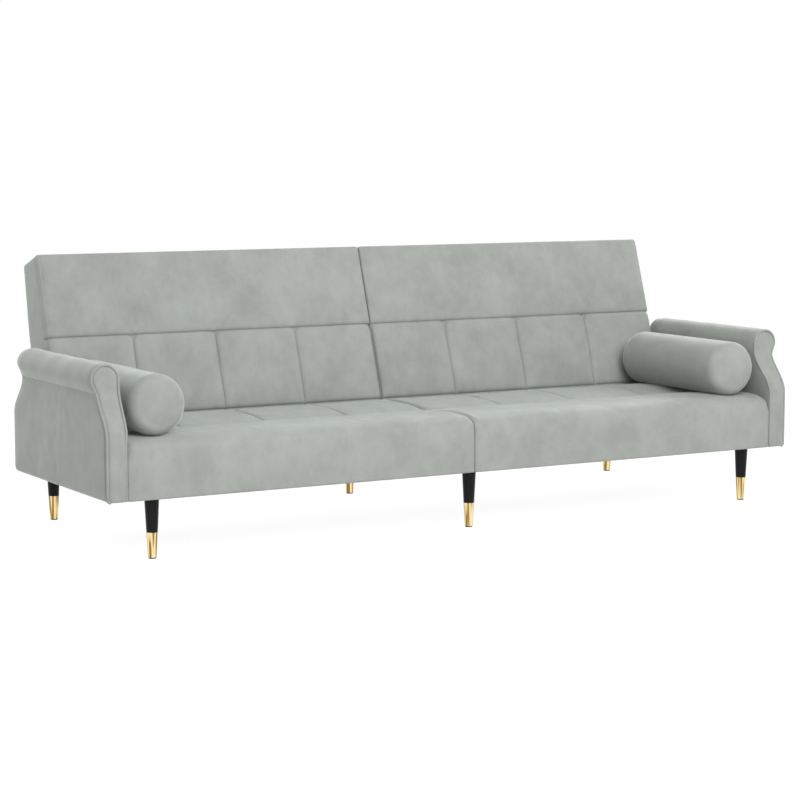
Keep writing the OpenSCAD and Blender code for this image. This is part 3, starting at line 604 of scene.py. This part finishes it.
def add_back(side, label):
    """One half of the backrest with the lip below it, in the same two steps."""
    x0, x1 = cover_lo.x, cover_hi.x
    xs, edges = pad_stations(x0, x1)
    us = joined(steps(-BACK_LIP, BACK_WAIST, 10 * MM, (True, False)), steps(BACK_WAIST, BACK_FOOT),
                steps(BACK_FOOT, BACK_SEAM), steps(BACK_SEAM, BACK_LEN))
    X, U = np.meshgrid(xs, us, indexing="ij")
    cloth_x = even(edges)
    cloth_u = even([BACK_FOOT, BACK_SEAM, BACK_LEN])
    CX, CU = np.meshgrid(cloth_x, cloth_u, indexing="ij")
    points = on_slope(side * CX, CU, -0.6 * MM * uneven(CX, CU, "back_cloth", side))
    on_seam = np.isclose(CX[..., None], edges[1:-1]).any(-1) & (CU <= BACK_SEAM)
    held = on_seam | np.isclose(CU, BACK_SEAM)
    sew_round(held)
    skin = hang_skin(points, held, np.broadcast_to(-REARWARD, points.shape), pressure=8.0)
    yield

    moved = spread(skin["moved"], cloth_x, xs, cloth_u, us)
    moved[:, us < BACK_FOOT] = 0
    moved[..., 0] *= side
    edge = np.minimum(np.minimum(X - x0, x1 - X), BACK_LEN - U)
    depth = pad_depth(X, U, edges, BACK_FOOT, BACK_SEAM, BACK_PAD_R)
    in_pads = PAD_TUCK[0] * drop_share(depth, PAD_TUCK[1]) + 0.4 * np.clip(-depth, 0, SEAM_R)
    tuck = np.where(U <= BACK_SEAM, in_pads, BAND_TUCK[0] * drop_share(U - BACK_SEAM, BAND_TUCK[1]))
    for seam in edges[1:-1]:
        tuck = tuck + MEETING_TUCK[0] * bell(np.hypot(X - seam, U - BACK_SEAM), MEETING_TUCK[1])
    tuck = tuck + END_TUCK[0] * bell(X - x1 + END_R, END_TUCK[1])
    for drop, reach in FOOT_TUCKS:
        tuck = tuck + drop * drop_share(U - BACK_FOOT, reach)
    edge_fade = smooth(edge / (25 * MM))
    front = tuck - (1.5 + 0.9 * uneven(X, U, "back_front", side)) * MM * edge_fade
    front = front * smooth((U - BACK_WAIST) / EDGE_FADE)

    cs = np.array(BLOCK_STATIONS) * MM
    X3, U3, C3 = np.meshgrid(xs, us, cs, indexing="ij")
    U3, C3 = turned(U3, C3, BACK_LEN, 0, -1, 1, EDGE_R)
    U3, C3 = turned(U3, C3, BACK_LEN, BLOCK_T, -1, -1, TOP_R)
    X3, C3 = turned(X3, C3, x1, 0, -1, 1, END_R)
    X3, C3 = turned(X3, C3, x0, 0, 1, 1, EDGE_R)
    X3, C3 = turned(X3, C3, x1, BLOCK_T, -1, -1, EDGE_R)
    X3, C3 = turned(X3, C3, x0, BLOCK_T, 1, -1, EDGE_R)
    X3, U3 = turned(X3, U3, x1, BACK_LEN, -1, -1, END_R)
    X3, U3 = turned(X3, U3, x0, BACK_LEN, 1, -1, EDGE_R)
    share = (cs / BLOCK_T)[None, None, :]
    at_end = smooth((xs - x1 + 60 * MM) / (60 * MM))[:, None, None]
    across, up = (xs - x0) / (x1 - x0), (us - BACK_WAIST) / (BACK_LEN - BACK_WAIST)
    X3 = X3 + 2 * MM * at_end * puff(share) * puff(up)[None, :, None]
    seam_line = 1.4 * MM * bell(cs - BLOCK_SEAM, 1.3 * MM)[None]
    X3[0] += seam_line
    U3[:, -1] -= seam_line
    thick = np.where(us < BACK_WAIST, LIP_DEPTH, back_depth(np.clip(us, BACK_WAIST, None)))[None, :, None]
    crown = 2.5 * puff(across)[:, None] * puff(up)[None]
    rear = (crown + 1.1 * uneven(X, U, "back_rear", side) * edge_fade) * MM
    rear = rear * smooth((U - BACK_WAIST) / (25 * MM))
    n = C3 / BLOCK_T * thick + front[..., None] * (1 - share) ** 2 + rear[..., None] * share ** 2
    out = on_slope(X3, U3, n) + moved[:, :, None] * ((1 - share) ** 2)[..., None]
    piece = block(f"back_upholstery_{label}", out, side)
    finish_piece(piece, f"back_{label}", "velvet", f"back_cushion_{label}", f"back_cover_{label}")


# Arms
def arm_front(z):
    """Depth of the arm's front edge at each height."""
    return FRONT_Y + ARM_SETBACK * smooth((z - FRONT_CURVE[0]) / FRONT_CURVE[1])


def arm_back(z):
    """Depth of the arm's rear edge at each height."""
    corner = ARM_CORNER_R * drop_share(z - BODY_Z, ARM_CORNER_R)
    bulge = REAR_BULGE * smooth((z - ARM_SEAM_Z) / (ROLL_Z - ARM_SEAM_Z))
    return pad_hi.y - ARM_REAR_SETBACK * smooth((z - REAR_CURVE[0]) / REAR_CURVE[1]) - corner + bulge


def arm_lines():
    """Inner and outer lines of the arm's section in width and height, from its foot to its crown."""
    z = joined(steps(BODY_Z, ARM_SEAM_Z), steps(ARM_SEAM_Z, ROLL_Z, 6 * MM, (True, False)))
    foot_in, foot_out = 4 * MM, 9 * MM
    inner = pad_lo.x - (pad_lo.x - roll_lo.x) * smooth((z - ROLL_Z + NECK_IN[0]) / NECK_IN[1])
    inner = inner + foot_in * drop_share(z - BODY_Z, foot_in)
    outer = pad_hi.x + (roll_hi.x - pad_hi.x) * smooth((z - ROLL_Z + NECK_OUT[0]) / NECK_OUT[1])
    outer = outer - foot_out * drop_share(z - BODY_Z, foot_out)
    turn = np.radians(np.concatenate([np.linspace(5, 85, 17), [88, 90]]))
    rise = ROLL_Z + ROLL_R * np.sin(turn)
    inner = np.concatenate([inner, ROLL_X - ROLL_R * np.cos(turn)])
    outer = np.concatenate([outer, ROLL_X + ROLL_R * np.cos(turn)])
    return np.stack([inner, np.concatenate([z, rise])], -1), np.stack([outer, np.concatenate([z, rise])], -1)


def add_arm(side, label):
    """One arm and the piping round its facing, in the same two steps."""
    inner, outer = arm_lines()
    z = inner[:, 1]
    count = len(z)
    span = joined(np.array([0] + ARM_FINE), steps(ARM_FINE[-1], ARM_SPAN, 10 * MM, (False, True)))
    along = span / ARM_SPAN
    shares = np.concatenate([ARM_SHARES, [0.5], 1 - np.array(ARM_SHARES[::-1])])
    line = inner[:, None, :] + (outer - inner)[:, None, :] * shares[None, :, None]
    LX, LZ = line[..., 0], line[..., 1]
    in_slab = np.minimum(LX - inner[:, :1], outer[:, :1] - LX)
    in_roll = ROLL_R - np.hypot(LX - ROLL_X, LZ - ROLL_Z)
    inset = np.clip(np.where(LZ > ROLL_Z, in_roll, in_slab), 0, None)
    facing = -FACING_PROUD - FACING_BULGE + FACING_DROP * drop_share(inset - FACING_RIM, FACING_R)
    facing = facing + 0.5 * MM * uneven(LX, LZ, "arm_facing", side)
    facing = facing + FACING_FOOT_R * drop_share(LZ - BODY_Z, FACING_FOOT_R)
    rear_r = (4 + 14 * smooth((z - ARM_SEAM_Z) / (30 * MM)))[:, None] * MM
    y0 = arm_front(z)[:, None] + facing
    y1 = arm_back(z)[:, None] - rear_r * drop_share(inset, rear_r)
    P = np.zeros((len(along), *LX.shape, 3))
    P[..., 0] = LX
    P[..., 1] = y0[None] + (y1 - y0)[None] * along[:, None, None]
    P[..., 2] = LZ

    path = np.concatenate([inner, outer[::-1][1:]])
    way = way_along(path)
    bare_from = way[int(np.argmin(np.abs(z - SEAT_Z - ARM_BARE_H)))]
    crease = way[2 * count - 2 - int(np.argmin(np.abs(z - ARM_SEAM_Z)))]
    cloth_way = even([bare_from, crease, way[-1]])
    cloth_span = even([0, ARM_SPAN])
    place = np.stack([np.interp(cloth_way, way, path[:, k]) for k in (0, 1)], -1)
    ends = [np.interp(cloth_way, way, line) for line in
            (np.concatenate([y0[:, 0], y0[::-1, -1][1:]]), np.concatenate([y1[:, 0], y1[::-1, -1][1:]]))]
    points = np.zeros((len(cloth_span), len(cloth_way), 3))
    points[..., 0] = side * place[None, :, 0]
    points[..., 1] = ends[0][None] + (ends[1] - ends[0])[None] * (cloth_span / ARM_SPAN)[:, None]
    points[..., 2] = place[None, :, 1]
    outward = np.zeros(points.shape)
    outward[..., 0] = side * (place[:, 0] - ROLL_X)
    outward[..., 2] = np.clip(place[:, 1] - ROLL_Z, 0, None)
    held = np.zeros(points.shape[:2], bool)
    sew_round(held)
    held[:, np.isclose(cloth_way, crease)] = True
    skin = hang_skin(points, held, outward, pressure=4.0, slack=0.001)
    yield

    moved = spread(skin["moved"], cloth_span, span, cloth_way, way)
    moved[:, way < bare_from] = 0
    moved[..., 0] *= side
    S, Z = np.meshgrid(span, z, indexing="ij")
    near = between(S, 0, ARM_SPAN, 14 * MM)
    fade = smooth(S / (22 * MM)) * smooth((ARM_SPAN - S) / (30 * MM))
    dent = SEAM_DENT[0] * bell(Z - ARM_SEAM_Z, SEAM_DENT[1]) * near
    groove = PIPING_GROOVE[0] * bell(S - PIPING_GROOVE[1], PIPING_GROOVE[2])
    fullness = smooth((Z - ARM_SEAM_Z) / (25 * MM)) * fade
    rise_in = 0.8 * uneven(S, Z, "arm_inner", side) * smooth((Z - SEAT_Z - ARM_BARE_H) / (40 * MM)) * near
    rise_in = (rise_in + (0.6 + 2.4 * smooth((Z - ROLL_Z) / ROLL_R)) * fullness) * MM - groove * (Z > SEAT_Z)
    rise_out = 0.6 * uneven(S, Z, "arm_outer", side) * smooth((Z - BODY_Z) / (30 * MM)) * near + 3 * fullness
    rise_out = rise_out * MM - dent - groove
    crown = smooth((ROLL_Z + ROLL_R - Z) / (20 * MM))
    rise_in = rise_in * crown + rise_out * (1 - crown)
    ways = []
    for edge in (inner, outer):
        out = np.stack([edge[:, 0] - ROLL_X, np.zeros(count), np.clip(edge[:, 1] - ROLL_Z, 0, None)], -1)
        ways.append(out / np.maximum(np.linalg.norm(out, axis=1), TINY)[:, None])
    at_inner = moved[:, :count] + rise_in[..., None] * ways[0][None]
    at_outer = moved[:, count - 1:][:, ::-1] + rise_out[..., None] * ways[1][None]
    share = shares[None, None, :, None]
    P += at_inner[:, :, None] * (1 - share) + at_outer[:, :, None] * share
    piece = block(f"arm_upholstery_{label}", P, side)
    finish_piece(piece, "base", "velvet", f"arm_pad_{label}", f"arm_roll_{label}", f"arm_facing_{label}")

    normal = np.stack([-np.gradient(path[:, 1]), np.gradient(path[:, 0])], -1)
    normal /= np.linalg.norm(normal, axis=1)[:, None]
    proud = np.full(len(path), PIPING_PROUD)
    proud[:count] *= smooth((z - SEAT_Z) / (30 * MM))
    path = path + normal * (proud - PIPING_R)[:, None]
    path[0, 1] = path[-1, 1] = BODY_Z + 1 * MM
    points = np.stack([path[:, 0], arm_front(path[:, 1]) - FACING_PROUD + PIPING_R, path[:, 1]], -1)
    piping = tube(f"arm_piping_{label}", points, PIPING_R, side)
    finish_piece(piping, "base", "velvet")


# Bolsters
def add_bolster(side, label):
    """One bolster, pressed a little flat where it lies on the seat, in the same two steps."""
    centre = (bolster_lo + bolster_hi) / 2
    radius, length = (bolster_hi.x - bolster_lo.x) / 2, bolster_hi.y - bolster_lo.y
    flat, end = radius - BOLSTER_ROUND, BOLSTER_DOME + BOLSTER_ROUND
    line = [(flat * s, BOLSTER_DOME * s * s) for s in np.linspace(0, 1, 10)]
    line += [(flat + BOLSTER_ROUND * math.sin(a), BOLSTER_DOME + BOLSTER_ROUND * (1 - math.cos(a)))
             for a in QUARTER_TURN]
    middle = [(radius, y) for y in np.linspace(end, length - end, 48)[1:-1]]
    line = np.array(line + middle + [(r, length - y) for r, y in reversed(line)])
    way = way_along(line)
    ahead = headings(line)
    normal = np.stack([ahead[:, 1], -ahead[:, 0]], -1)
    rearward = np.array([0, 1, 0])

    def surface(turn, at):
        """Places and outward directions round the bolster, at turns about it and ways along its outline."""
        r, y, out_r, out_y = (np.interp(at, way, v)[:, None] for v in (*line.T, *normal.T))
        rise = uneven(r * np.sin(turn), at[:, None], "bolster_across", side)
        rise = 0.6 * MM * (rise * uneven(r * np.cos(turn), at[:, None], "bolster_over", side))
        ring = np.stack([np.sin(turn), np.zeros(len(turn)), np.cos(turn)], -1)[None]
        outward = out_r[..., None] * ring + out_y[..., None] * rearward
        start = np.array([side * centre.x, bolster_lo.y, centre.z - BOLSTER_SINK])
        places = start + r[..., None] * ring + y[..., None] * rearward + rise[..., None] * outward
        return places, outward

    cloth_turn = np.linspace(0, 2 * np.pi, 48, endpoint=False)
    cloth_way = even([12 * MM, way[-1] - 12 * MM])
    points, outward = surface(cloth_turn, cloth_way)
    held = np.broadcast_to(np.cos(cloth_turn) < -0.97, points.shape[:2])
    skin = hang_skin(points.transpose(1, 0, 2), held.T, outward.transpose(1, 0, 2), pressure=2.0, slack=0,
                     round_way=True)
    yield

    turn = np.linspace(0, 2 * np.pi, BOLSTER_SIDES, endpoint=False)
    points, outward = surface(turn, way)
    all_round = np.concatenate([skin["moved"], skin["moved"][:1]])
    moved = spread(all_round, np.append(cloth_turn, 2 * np.pi), turn, cloth_way, way).transpose(1, 0, 2)
    points = points + moved - 1 * MM * outward
    points[0], points[-1] = points[0].mean(axis=0), points[-1].mean(axis=0)
    low, soft = bolster_lo.z - BOLSTER_SINK + 1.2 * MM, 4 * MM
    sink = np.clip(low + soft - points[..., 2], 0, None)
    points[..., 2] = np.where(sink > 0, low + soft - soft * np.tanh(sink / soft), points[..., 2])
    piece = new_mesh(f"bolster_cover_{label}", points.reshape(-1, 3), ring_faces(len(line), BOLSTER_SIDES))
    finish_piece(piece, f"bolster_{label}", "velvet", f"bolster_{label}")


# Hidden soft parts
def slab(name, low, high, place, side, node, body, slot, edge=5 * MM):
    """A soft slab between two corners, in a space whose third way is its thickness, with rounded edges."""
    a, b = (even([low[k], high[k]], 30 * MM) for k in (0, 1))
    rim = [1 * MM, 2.5 * MM, 5 * MM]
    a, b = (np.sort(np.concatenate([v] + [[v[0] + f, v[-1] - f] for f in rim])) for v in (a, b))
    c = np.linspace(low[2], high[2], 9)
    A, B, C = np.meshgrid(a, b, c, indexing="ij")
    for way_b, end_b in ((1, low[2]), (-1, high[2])):
        for way_a, end_a in ((1, low[0]), (-1, high[0])):
            A, C = turned(A, C, end_a, end_b, way_a, way_b, edge)
        for way_a, end_a in ((1, low[1]), (-1, high[1])):
            B, C = turned(B, C, end_a, end_b, way_a, way_b, edge)
    near = between(A, low[0], high[0], 40 * MM) * between(B, low[1], high[1], 40 * MM)
    C = C - 0.5 * MM * near * (C > c[4]) * (1 + uneven(A, B, "foam", side))
    piece = block(name, place(A, B, C), side)
    finish_piece(piece, body, slot, node)


def node_corners(node):
    """The places of a frame node's corners."""
    return np.array([tuple(v.co) for v in frame["nodes"][node].data.vertices])


def add_foam(side, label):
    slab(f"seat_padding_{label}", foam_lo, foam_hi, lambda a, b, c: np.stack([a, b, c], -1),
         side, f"seat_foam_{label}", "base", "foam")
    corners = node_corners("back_foam_right") - np.array([0, crease_y, SEAT_Z])
    ways = np.stack([corners[:, 0], corners @ SLOPE, -(corners @ REARWARD)], -1)
    slab(f"back_padding_{label}", ways.min(axis=0), ways.max(axis=0), lambda a, b, c: on_slope(a, b, -c),
         side, f"back_foam_{label}", f"back_{label}", "foam")


def add_rail_cover():
    """The strip of velvet drawn over the rear rail, with its outer edges rounded."""
    corners = node_corners("rear_rail_cover")
    inner_y, inner_z = (sorted(set(np.round(corners[:, k], 5)))[1] for k in (1, 2))
    xs = steps(rail_lo.x, rail_hi.x, 20 * MM)
    r, step = 8 * MM, 6 * MM
    outside = [(rail_lo.y, rail_hi.z)]
    outside += [(y, rail_hi.z) for y in even([rail_lo.y + 4 * MM, rail_hi.y - r], step)]
    outside += [(rail_hi.y - r * (1 - math.sin(a)), rail_hi.z - r * (1 - math.cos(a)))
                for a in np.linspace(0, math.pi / 2, 7)[1:]]
    outside += [(rail_hi.y, z) for z in even([rail_hi.z - r, rail_lo.z + 1 * MM], step)[1:]]
    outside = np.array(outside + [(rail_hi.y - 1 * MM, rail_lo.z)])
    inside = np.stack([np.minimum(outside[:, 0], inner_y), np.minimum(outside[:, 1], inner_z)], -1)
    inside[-2:, 1] = outside[-2:, 1]
    X, V = np.meshgrid(xs, np.arange(len(outside)) * 6 * MM, indexing="ij")
    drawn = 0.5 * MM * (1 + uneven(X, V, "rear_rail")) * smooth((xs - xs[0]) / EDGE_FADE)[:, None]
    drawn = drawn + 3 * MM * (drop_share(xs - xs[0], 3 * MM) + drop_share(xs[-1] - xs, 3 * MM))[:, None] * 0.7
    inward = inside - outside
    inward = inward / np.maximum(np.linalg.norm(inward, axis=1), TINY)[:, None]
    inward[0] = (0, -1)
    skin = outside[None] + drawn[..., None] * inward[None]
    rings = [np.concatenate([X[..., None], skin + (inside[None] - skin) * s], -1) for s in (0, 0.5, 1)]
    piece = block("rear_rail_upholstery", np.stack(rings, axis=2), 1)
    finish_piece(piece, "base", "velvet", "rear_rail_cover")


def add_dust_cover():
    """The thin cloth stretched under the seat frame, cut away round the front legs' plates."""
    lo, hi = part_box("dust_cover")
    plate_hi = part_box("leg_plates")[1]
    leg_x = [(a.x + b.x) / 2 for a, b in (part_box(f"leg_front_{w}") for w in ("left", "middle", "right"))]
    half = plate_hi.x - leg_x[2]
    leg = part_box("leg_front_middle")
    cut_y = [(leg[0].y + leg[1].y) / 2 + s * half for s in (-1, 1)]
    xs = even([lo.x] + [x + s * half for x in leg_x for s in (-1, 1)] + [hi.x], 18 * MM)
    ys = even([lo.y] + cut_y + [hi.y], 18 * MM)
    X, Y = np.meshgrid(xs, ys, indexing="ij")
    sag = 1 * MM * puff((X - lo.x) / (hi.x - lo.x)) * puff((Y - lo.y) / (hi.y - lo.y))
    sag = sag * (1 + 0.3 * uneven(X, Y, "dust_sheet"))
    points = np.stack([X, Y, (lo.z + hi.z) / 2 - sag], -1)
    index = np.arange(X.size).reshape(X.shape)
    faces = []
    for i in range(len(xs) - 1):
        for j in range(len(ys) - 1):
            x, y = (xs[i] + xs[i + 1]) / 2, (ys[j] + ys[j + 1]) / 2
            if not (cut_y[0] < y < cut_y[1] and min(abs(x - at) for at in leg_x) < half):
                faces.append((index[i, j], index[i + 1, j], index[i + 1, j + 1], index[i, j + 1]))
    piece = new_mesh("dust_sheet", points.reshape(-1, 3), faces)
    solid = piece.modifiers.new("thickness", "SOLIDIFY")
    solid.thickness = 0.6 * MM
    solid.offset = 0
    finish_piece(piece, "base", "lining", "dust_cover")


# Materials
class Paint:
    """A Principled material under construction. Constants are set on the shader's own sockets."""

    def __init__(self, name, **constants):
        self.material = bpy.data.materials.new(name)
        self.material.use_nodes = True
        self.tree = self.material.node_tree
        self.shader = self.tree.nodes["Principled BSDF"]
        for socket, value in constants.items():
            self.shader.inputs[socket.replace("_", " ")].default_value = value
        self.place = self.tree.nodes.new("ShaderNodeTexCoord").outputs["Object"]

    def node(self, kind, links=None, **values):
        made = self.tree.nodes.new("ShaderNode" + kind)
        for key, value in values.items():
            if key in made.inputs:
                made.inputs[key].default_value = value
            else:
                setattr(made, key, value)
        for key, source in (links or {}).items():
            self.tree.links.new(source, made.inputs[key])
        return made

    def noise(self, scale, detail=3.0, stretch=(1, 1, 1), rough=0.5):
        mapped = self.node("Mapping", {"Vector": self.place}, Scale=stretch)
        made = self.node("TexNoise", {"Vector": mapped.outputs[0]}, Scale=scale, Detail=detail,
                         Roughness=rough)
        return made.outputs["Fac"]

    def ramp(self, source, stops):
        made = self.node("ValToRGB", {"Fac": source})
        points = made.color_ramp.elements
        while len(points) < len(stops):
            points.new(0.5)
        for point, (at, colour) in zip(points, stops):
            point.position = at
            point.color = (*colour, 1)
        return made.outputs["Color"]

    def mix(self, share, a, b, kind="MIX"):
        made = self.node("Mix", data_type="RGBA", blend_type=kind)
        for name, value in (("Factor_Float", share), ("A_Color", a), ("B_Color", b)):
            socket = next(s for s in made.inputs if s.identifier == name)
            if isinstance(value, bpy.types.NodeSocket):
                self.tree.links.new(value, socket)
            else:
                socket.default_value = value if name == "Factor_Float" else (*value, 1)
        return next(s for s in made.outputs if s.identifier == "Result_Color")

    def colour(self, source):
        self.tree.links.new(source, self.shader.inputs["Base Color"])
        return self

    def bump(self, source, strength, distance):
        made = self.node("Bump", {"Height": source}, Strength=strength, Distance=distance)
        self.tree.links.new(made.outputs["Normal"], self.shader.inputs["Normal"])
        return self

    def roughness(self, source, low, high):
        made = self.node("MapRange", {"Value": source}, **{"To Min": low, "To Max": high})
        self.tree.links.new(made.outputs[0], self.shader.inputs["Roughness"])
        return self


# The velvet's middle colour, which its clouds are lighter and darker shares of
VELVET = np.array((0.34, 0.36, 0.335))


def velvet():
    paint = Paint("velvet", Roughness=0.7, Specular_IOR_Level=0.4, Sheen_Weight=1.0, Sheen_Roughness=0.32,
                  Sheen_Tint=(0.94, 1.0, 0.96, 1))
    cloud = paint.noise(8.0, 6.0, (1.0, 0.9, 0.8), 0.68)
    base = paint.ramp(cloud, [(0.34, VELVET * (0.9, 0.895, 0.895)), (0.5, VELVET),
                              (0.66, VELVET * (1.09, 1.1, 1.095))])
    brushed = paint.noise(32.0, 4.0, (1.0, 0.8, 0.8), 0.6)
    strokes = paint.ramp(brushed, [(0.32, (0.94, 0.94, 0.942)), (0.68, (1.0, 1.0, 1.0))])
    base = paint.mix(1.0, base, strokes, "MULTIPLY")
    pile = paint.noise(1300.0, 2.0)
    return paint.colour(base).bump(pile, 0.3, 0.0005).material


def grained(name, dark, pale, scale, roughness):
    paint = Paint(name, Roughness=roughness)
    mapped = paint.node("Mapping", {"Vector": paint.place}, Scale=(0.4, 3, 3))
    rings = paint.node("TexWave", {"Vector": mapped.outputs[0]}, Scale=scale, Distortion=5.0, Detail=3.0)
    fibre = paint.noise(300.0, 3.0, (0.05, 1, 1))
    base = paint.ramp(rings.outputs["Fac"], [(0.2, dark), (0.8, pale)])
    base = paint.mix(0.3, base, paint.ramp(fibre, [(0.3, dark), (0.7, pale)]))
    return paint.colour(base).bump(fibre, 0.3, 0.0004).material


def speckled(name, dark, pale, scale, roughness, bump, metal=0.0):
    paint = Paint(name, Roughness=roughness, Metallic=metal)
    grain = paint.noise(scale, 4.0)
    return paint.colour(paint.ramp(grain, [(0.35, dark), (0.65, pale)])).bump(grain, bump, 0.0005).material


def woven(name, dark, pale):
    paint = Paint(name, Roughness=0.85, Specular_IOR_Level=0.2)
    threads = [paint.node("TexWave", {"Vector": paint.place}, Scale=260.0, bands_direction=d).outputs["Fac"]
               for d in "XY"]
    weave = paint.node("Math", {0: threads[0], 1: threads[1]}, operation="MULTIPLY").outputs[0]
    return paint.colour(paint.ramp(weave, [(0.1, dark), (0.7, pale)])).bump(weave, 0.6, 0.0006).material


def lacquer():
    paint = Paint("black_lacquer", Roughness=0.3, Specular_IOR_Level=0.16)
    grain = paint.noise(120.0, 3.0, (1, 1, 0.06))
    paint.colour(paint.ramp(grain, [(0.3, (0.003, 0.003, 0.0032)), (0.7, (0.009, 0.009, 0.0095))]))
    return paint.roughness(grain, 0.26, 0.4).bump(grain, 0.12, 0.0003).material


def brass():
    paint = Paint("gold_brass", Metallic=1.0, Roughness=0.2)
    # The vertical streaks in the base colour are partly drawn-metal marks and partly a painted reflection: dark
    # and pale bands that stand in for the surroundings mirrored in the metal
    drawn = paint.noise(165.0, 0.0, (1, 1, 0.02))
    paint.colour(paint.ramp(drawn, [(0.38, (0.3, 0.17, 0.045)), (0.48, (0.76, 0.54, 0.22)),
                                    (0.6, (0.92, 0.77, 0.46))]))
    return paint.roughness(drawn, 0.3, 0.16).bump(drawn, 0.06, 0.0002).material


def make_materials():
    return {
        "velvet": velvet(),
        "timber": grained("timber", (0.42, 0.27, 0.13), (0.62, 0.45, 0.27), 6.0, 0.65),
        "plywood": grained("plywood", (0.40, 0.26, 0.13), (0.55, 0.39, 0.23), 14.0, 0.6),
        "foam": speckled("foam", (0.74, 0.66, 0.44), (0.88, 0.83, 0.64), 500.0, 0.95, 0.6),
        "lining": woven("lining", (0.018, 0.018, 0.02), (0.05, 0.05, 0.054)),
        "black_lacquer": lacquer(),
        "gold_brass": brass(),
        "glide_plastic": speckled("glide_plastic", (0.02, 0.019, 0.017), (0.035, 0.033, 0.03), 700.0, 0.6,
                                  0.2),
        "zinc_steel": speckled("zinc_steel", (0.42, 0.43, 0.44), (0.58, 0.59, 0.6), 160.0, 0.38, 0.15, 1.0),
    }


def finish_piece(piece, body, slot, *nodes):
    """Gives a piece the material of its slot, hangs it on the body it rides on, and hides the frame nodes that it
    stands for.
    """
    piece.data.materials.append(MATERIALS[slot])
    if nodes:
        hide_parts(*nodes)
    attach(piece, body)


def dress_nodes():
    """The frame's own pieces keep their shapes and get their finishes."""
    slots = {row["node"]: row["material_slot"] for row in frame["record"]["subparts"]}
    for name, node in frame["nodes"].items():
        node.data.materials.clear()
        node.data.materials.append(MATERIALS[slots[name]])


# Surroundings
def camera_mix(tree, plain, seen):
    """Joins two shaders, the second of which shows to the camera and in gloss and glass."""
    path = tree.nodes.new("ShaderNodeLightPath")
    seen_by = path.outputs["Is Camera Ray"]
    for name in ("Is Glossy Ray", "Is Transmission Ray"):
        either = tree.nodes.new("ShaderNodeMath")
        either.operation = "MAXIMUM"
        tree.links.new(seen_by, either.inputs[0])
        tree.links.new(path.outputs[name], either.inputs[1])
        seen_by = either.outputs[0]
    mixed = tree.nodes.new("ShaderNodeMixShader")
    for source, socket in zip((seen_by, plain, seen), mixed.inputs):
        tree.links.new(source, socket)
    return mixed.outputs[0]


def add_world():
    world = bpy.data.worlds.new("studio")
    world.use_nodes = True
    bpy.context.scene.world = world
    tree = world.node_tree
    plain, seen = tree.nodes["Background"], tree.nodes.new("ShaderNodeBackground")
    for node, level in ((plain, WORLD_LEVEL), (seen, 1.0)):
        node.inputs["Color"].default_value = (1, 1, 1, 1)
        node.inputs["Strength"].default_value = level
    out = camera_mix(tree, plain.outputs[0], seen.outputs[0])
    tree.links.new(out, tree.nodes["World Output"].inputs["Surface"])


def add_floor():
    mesh = bpy.data.meshes.new("floor")
    s = FLOOR_HALF
    mesh.from_pydata([(-s, -s, 0), (s, -s, 0), (s, s, 0), (-s, s, 0)], [], [(0, 1, 2, 3)])
    floor = new_object("floor", mesh)
    material = bpy.data.materials.new("floor")
    material.use_nodes = True
    tree = material.node_tree
    tree.nodes.remove(tree.nodes["Principled BSDF"])
    plain, pale = tree.nodes.new("ShaderNodeBsdfDiffuse"), tree.nodes.new("ShaderNodeBsdfDiffuse")
    for node, level in ((plain, FLOOR_ALBEDO), (pale, FLOOR_PALE)):
        node.inputs["Color"].default_value = (level, level, level, 1)
    glow = tree.nodes.new("ShaderNodeEmission")
    glow.inputs["Strength"].default_value = FLOOR_GLOW
    both = tree.nodes.new("ShaderNodeAddShader")
    tree.links.new(pale.outputs[0], both.inputs[0])
    tree.links.new(glow.outputs[0], both.inputs[1])
    out = camera_mix(tree, plain.outputs[0], both.outputs[0])
    tree.links.new(out, tree.nodes["Material Output"].inputs["Surface"])
    mesh.materials.append(material)


def add_lamp(name, place, size, power):
    data = bpy.data.lights.new(name, "AREA")
    data.shape = "SQUARE"
    data.size = size
    data.energy = power
    lamp = new_object(name, data)
    lamp.location = place
    lamp.rotation_mode = "QUATERNION"
    lamp.rotation_quaternion = (LAMP_TARGET - Vector(place)).to_track_quat("-Z", "Y")


add_camera()
MATERIALS = make_materials()
dress_nodes()
# Each maker hangs its cloth, waits until all the cloths have run together, and then makes its piece
makers = [add(side, label) for side, label in SIDES for add in (add_seat, add_back, add_arm, add_bolster)]
for maker in makers:
    next(maker)
swell_skins()
for maker in makers:
    next(maker, None)
for side, label in SIDES:
    add_foam(side, label)
add_rail_cover()
add_dust_cover()
add_world()
add_floor()
for name, (place, size, power) in LAMPS.items():
    add_lamp(name, place, size, power)
bpy.context.scene.view_settings.view_transform = "Standard"
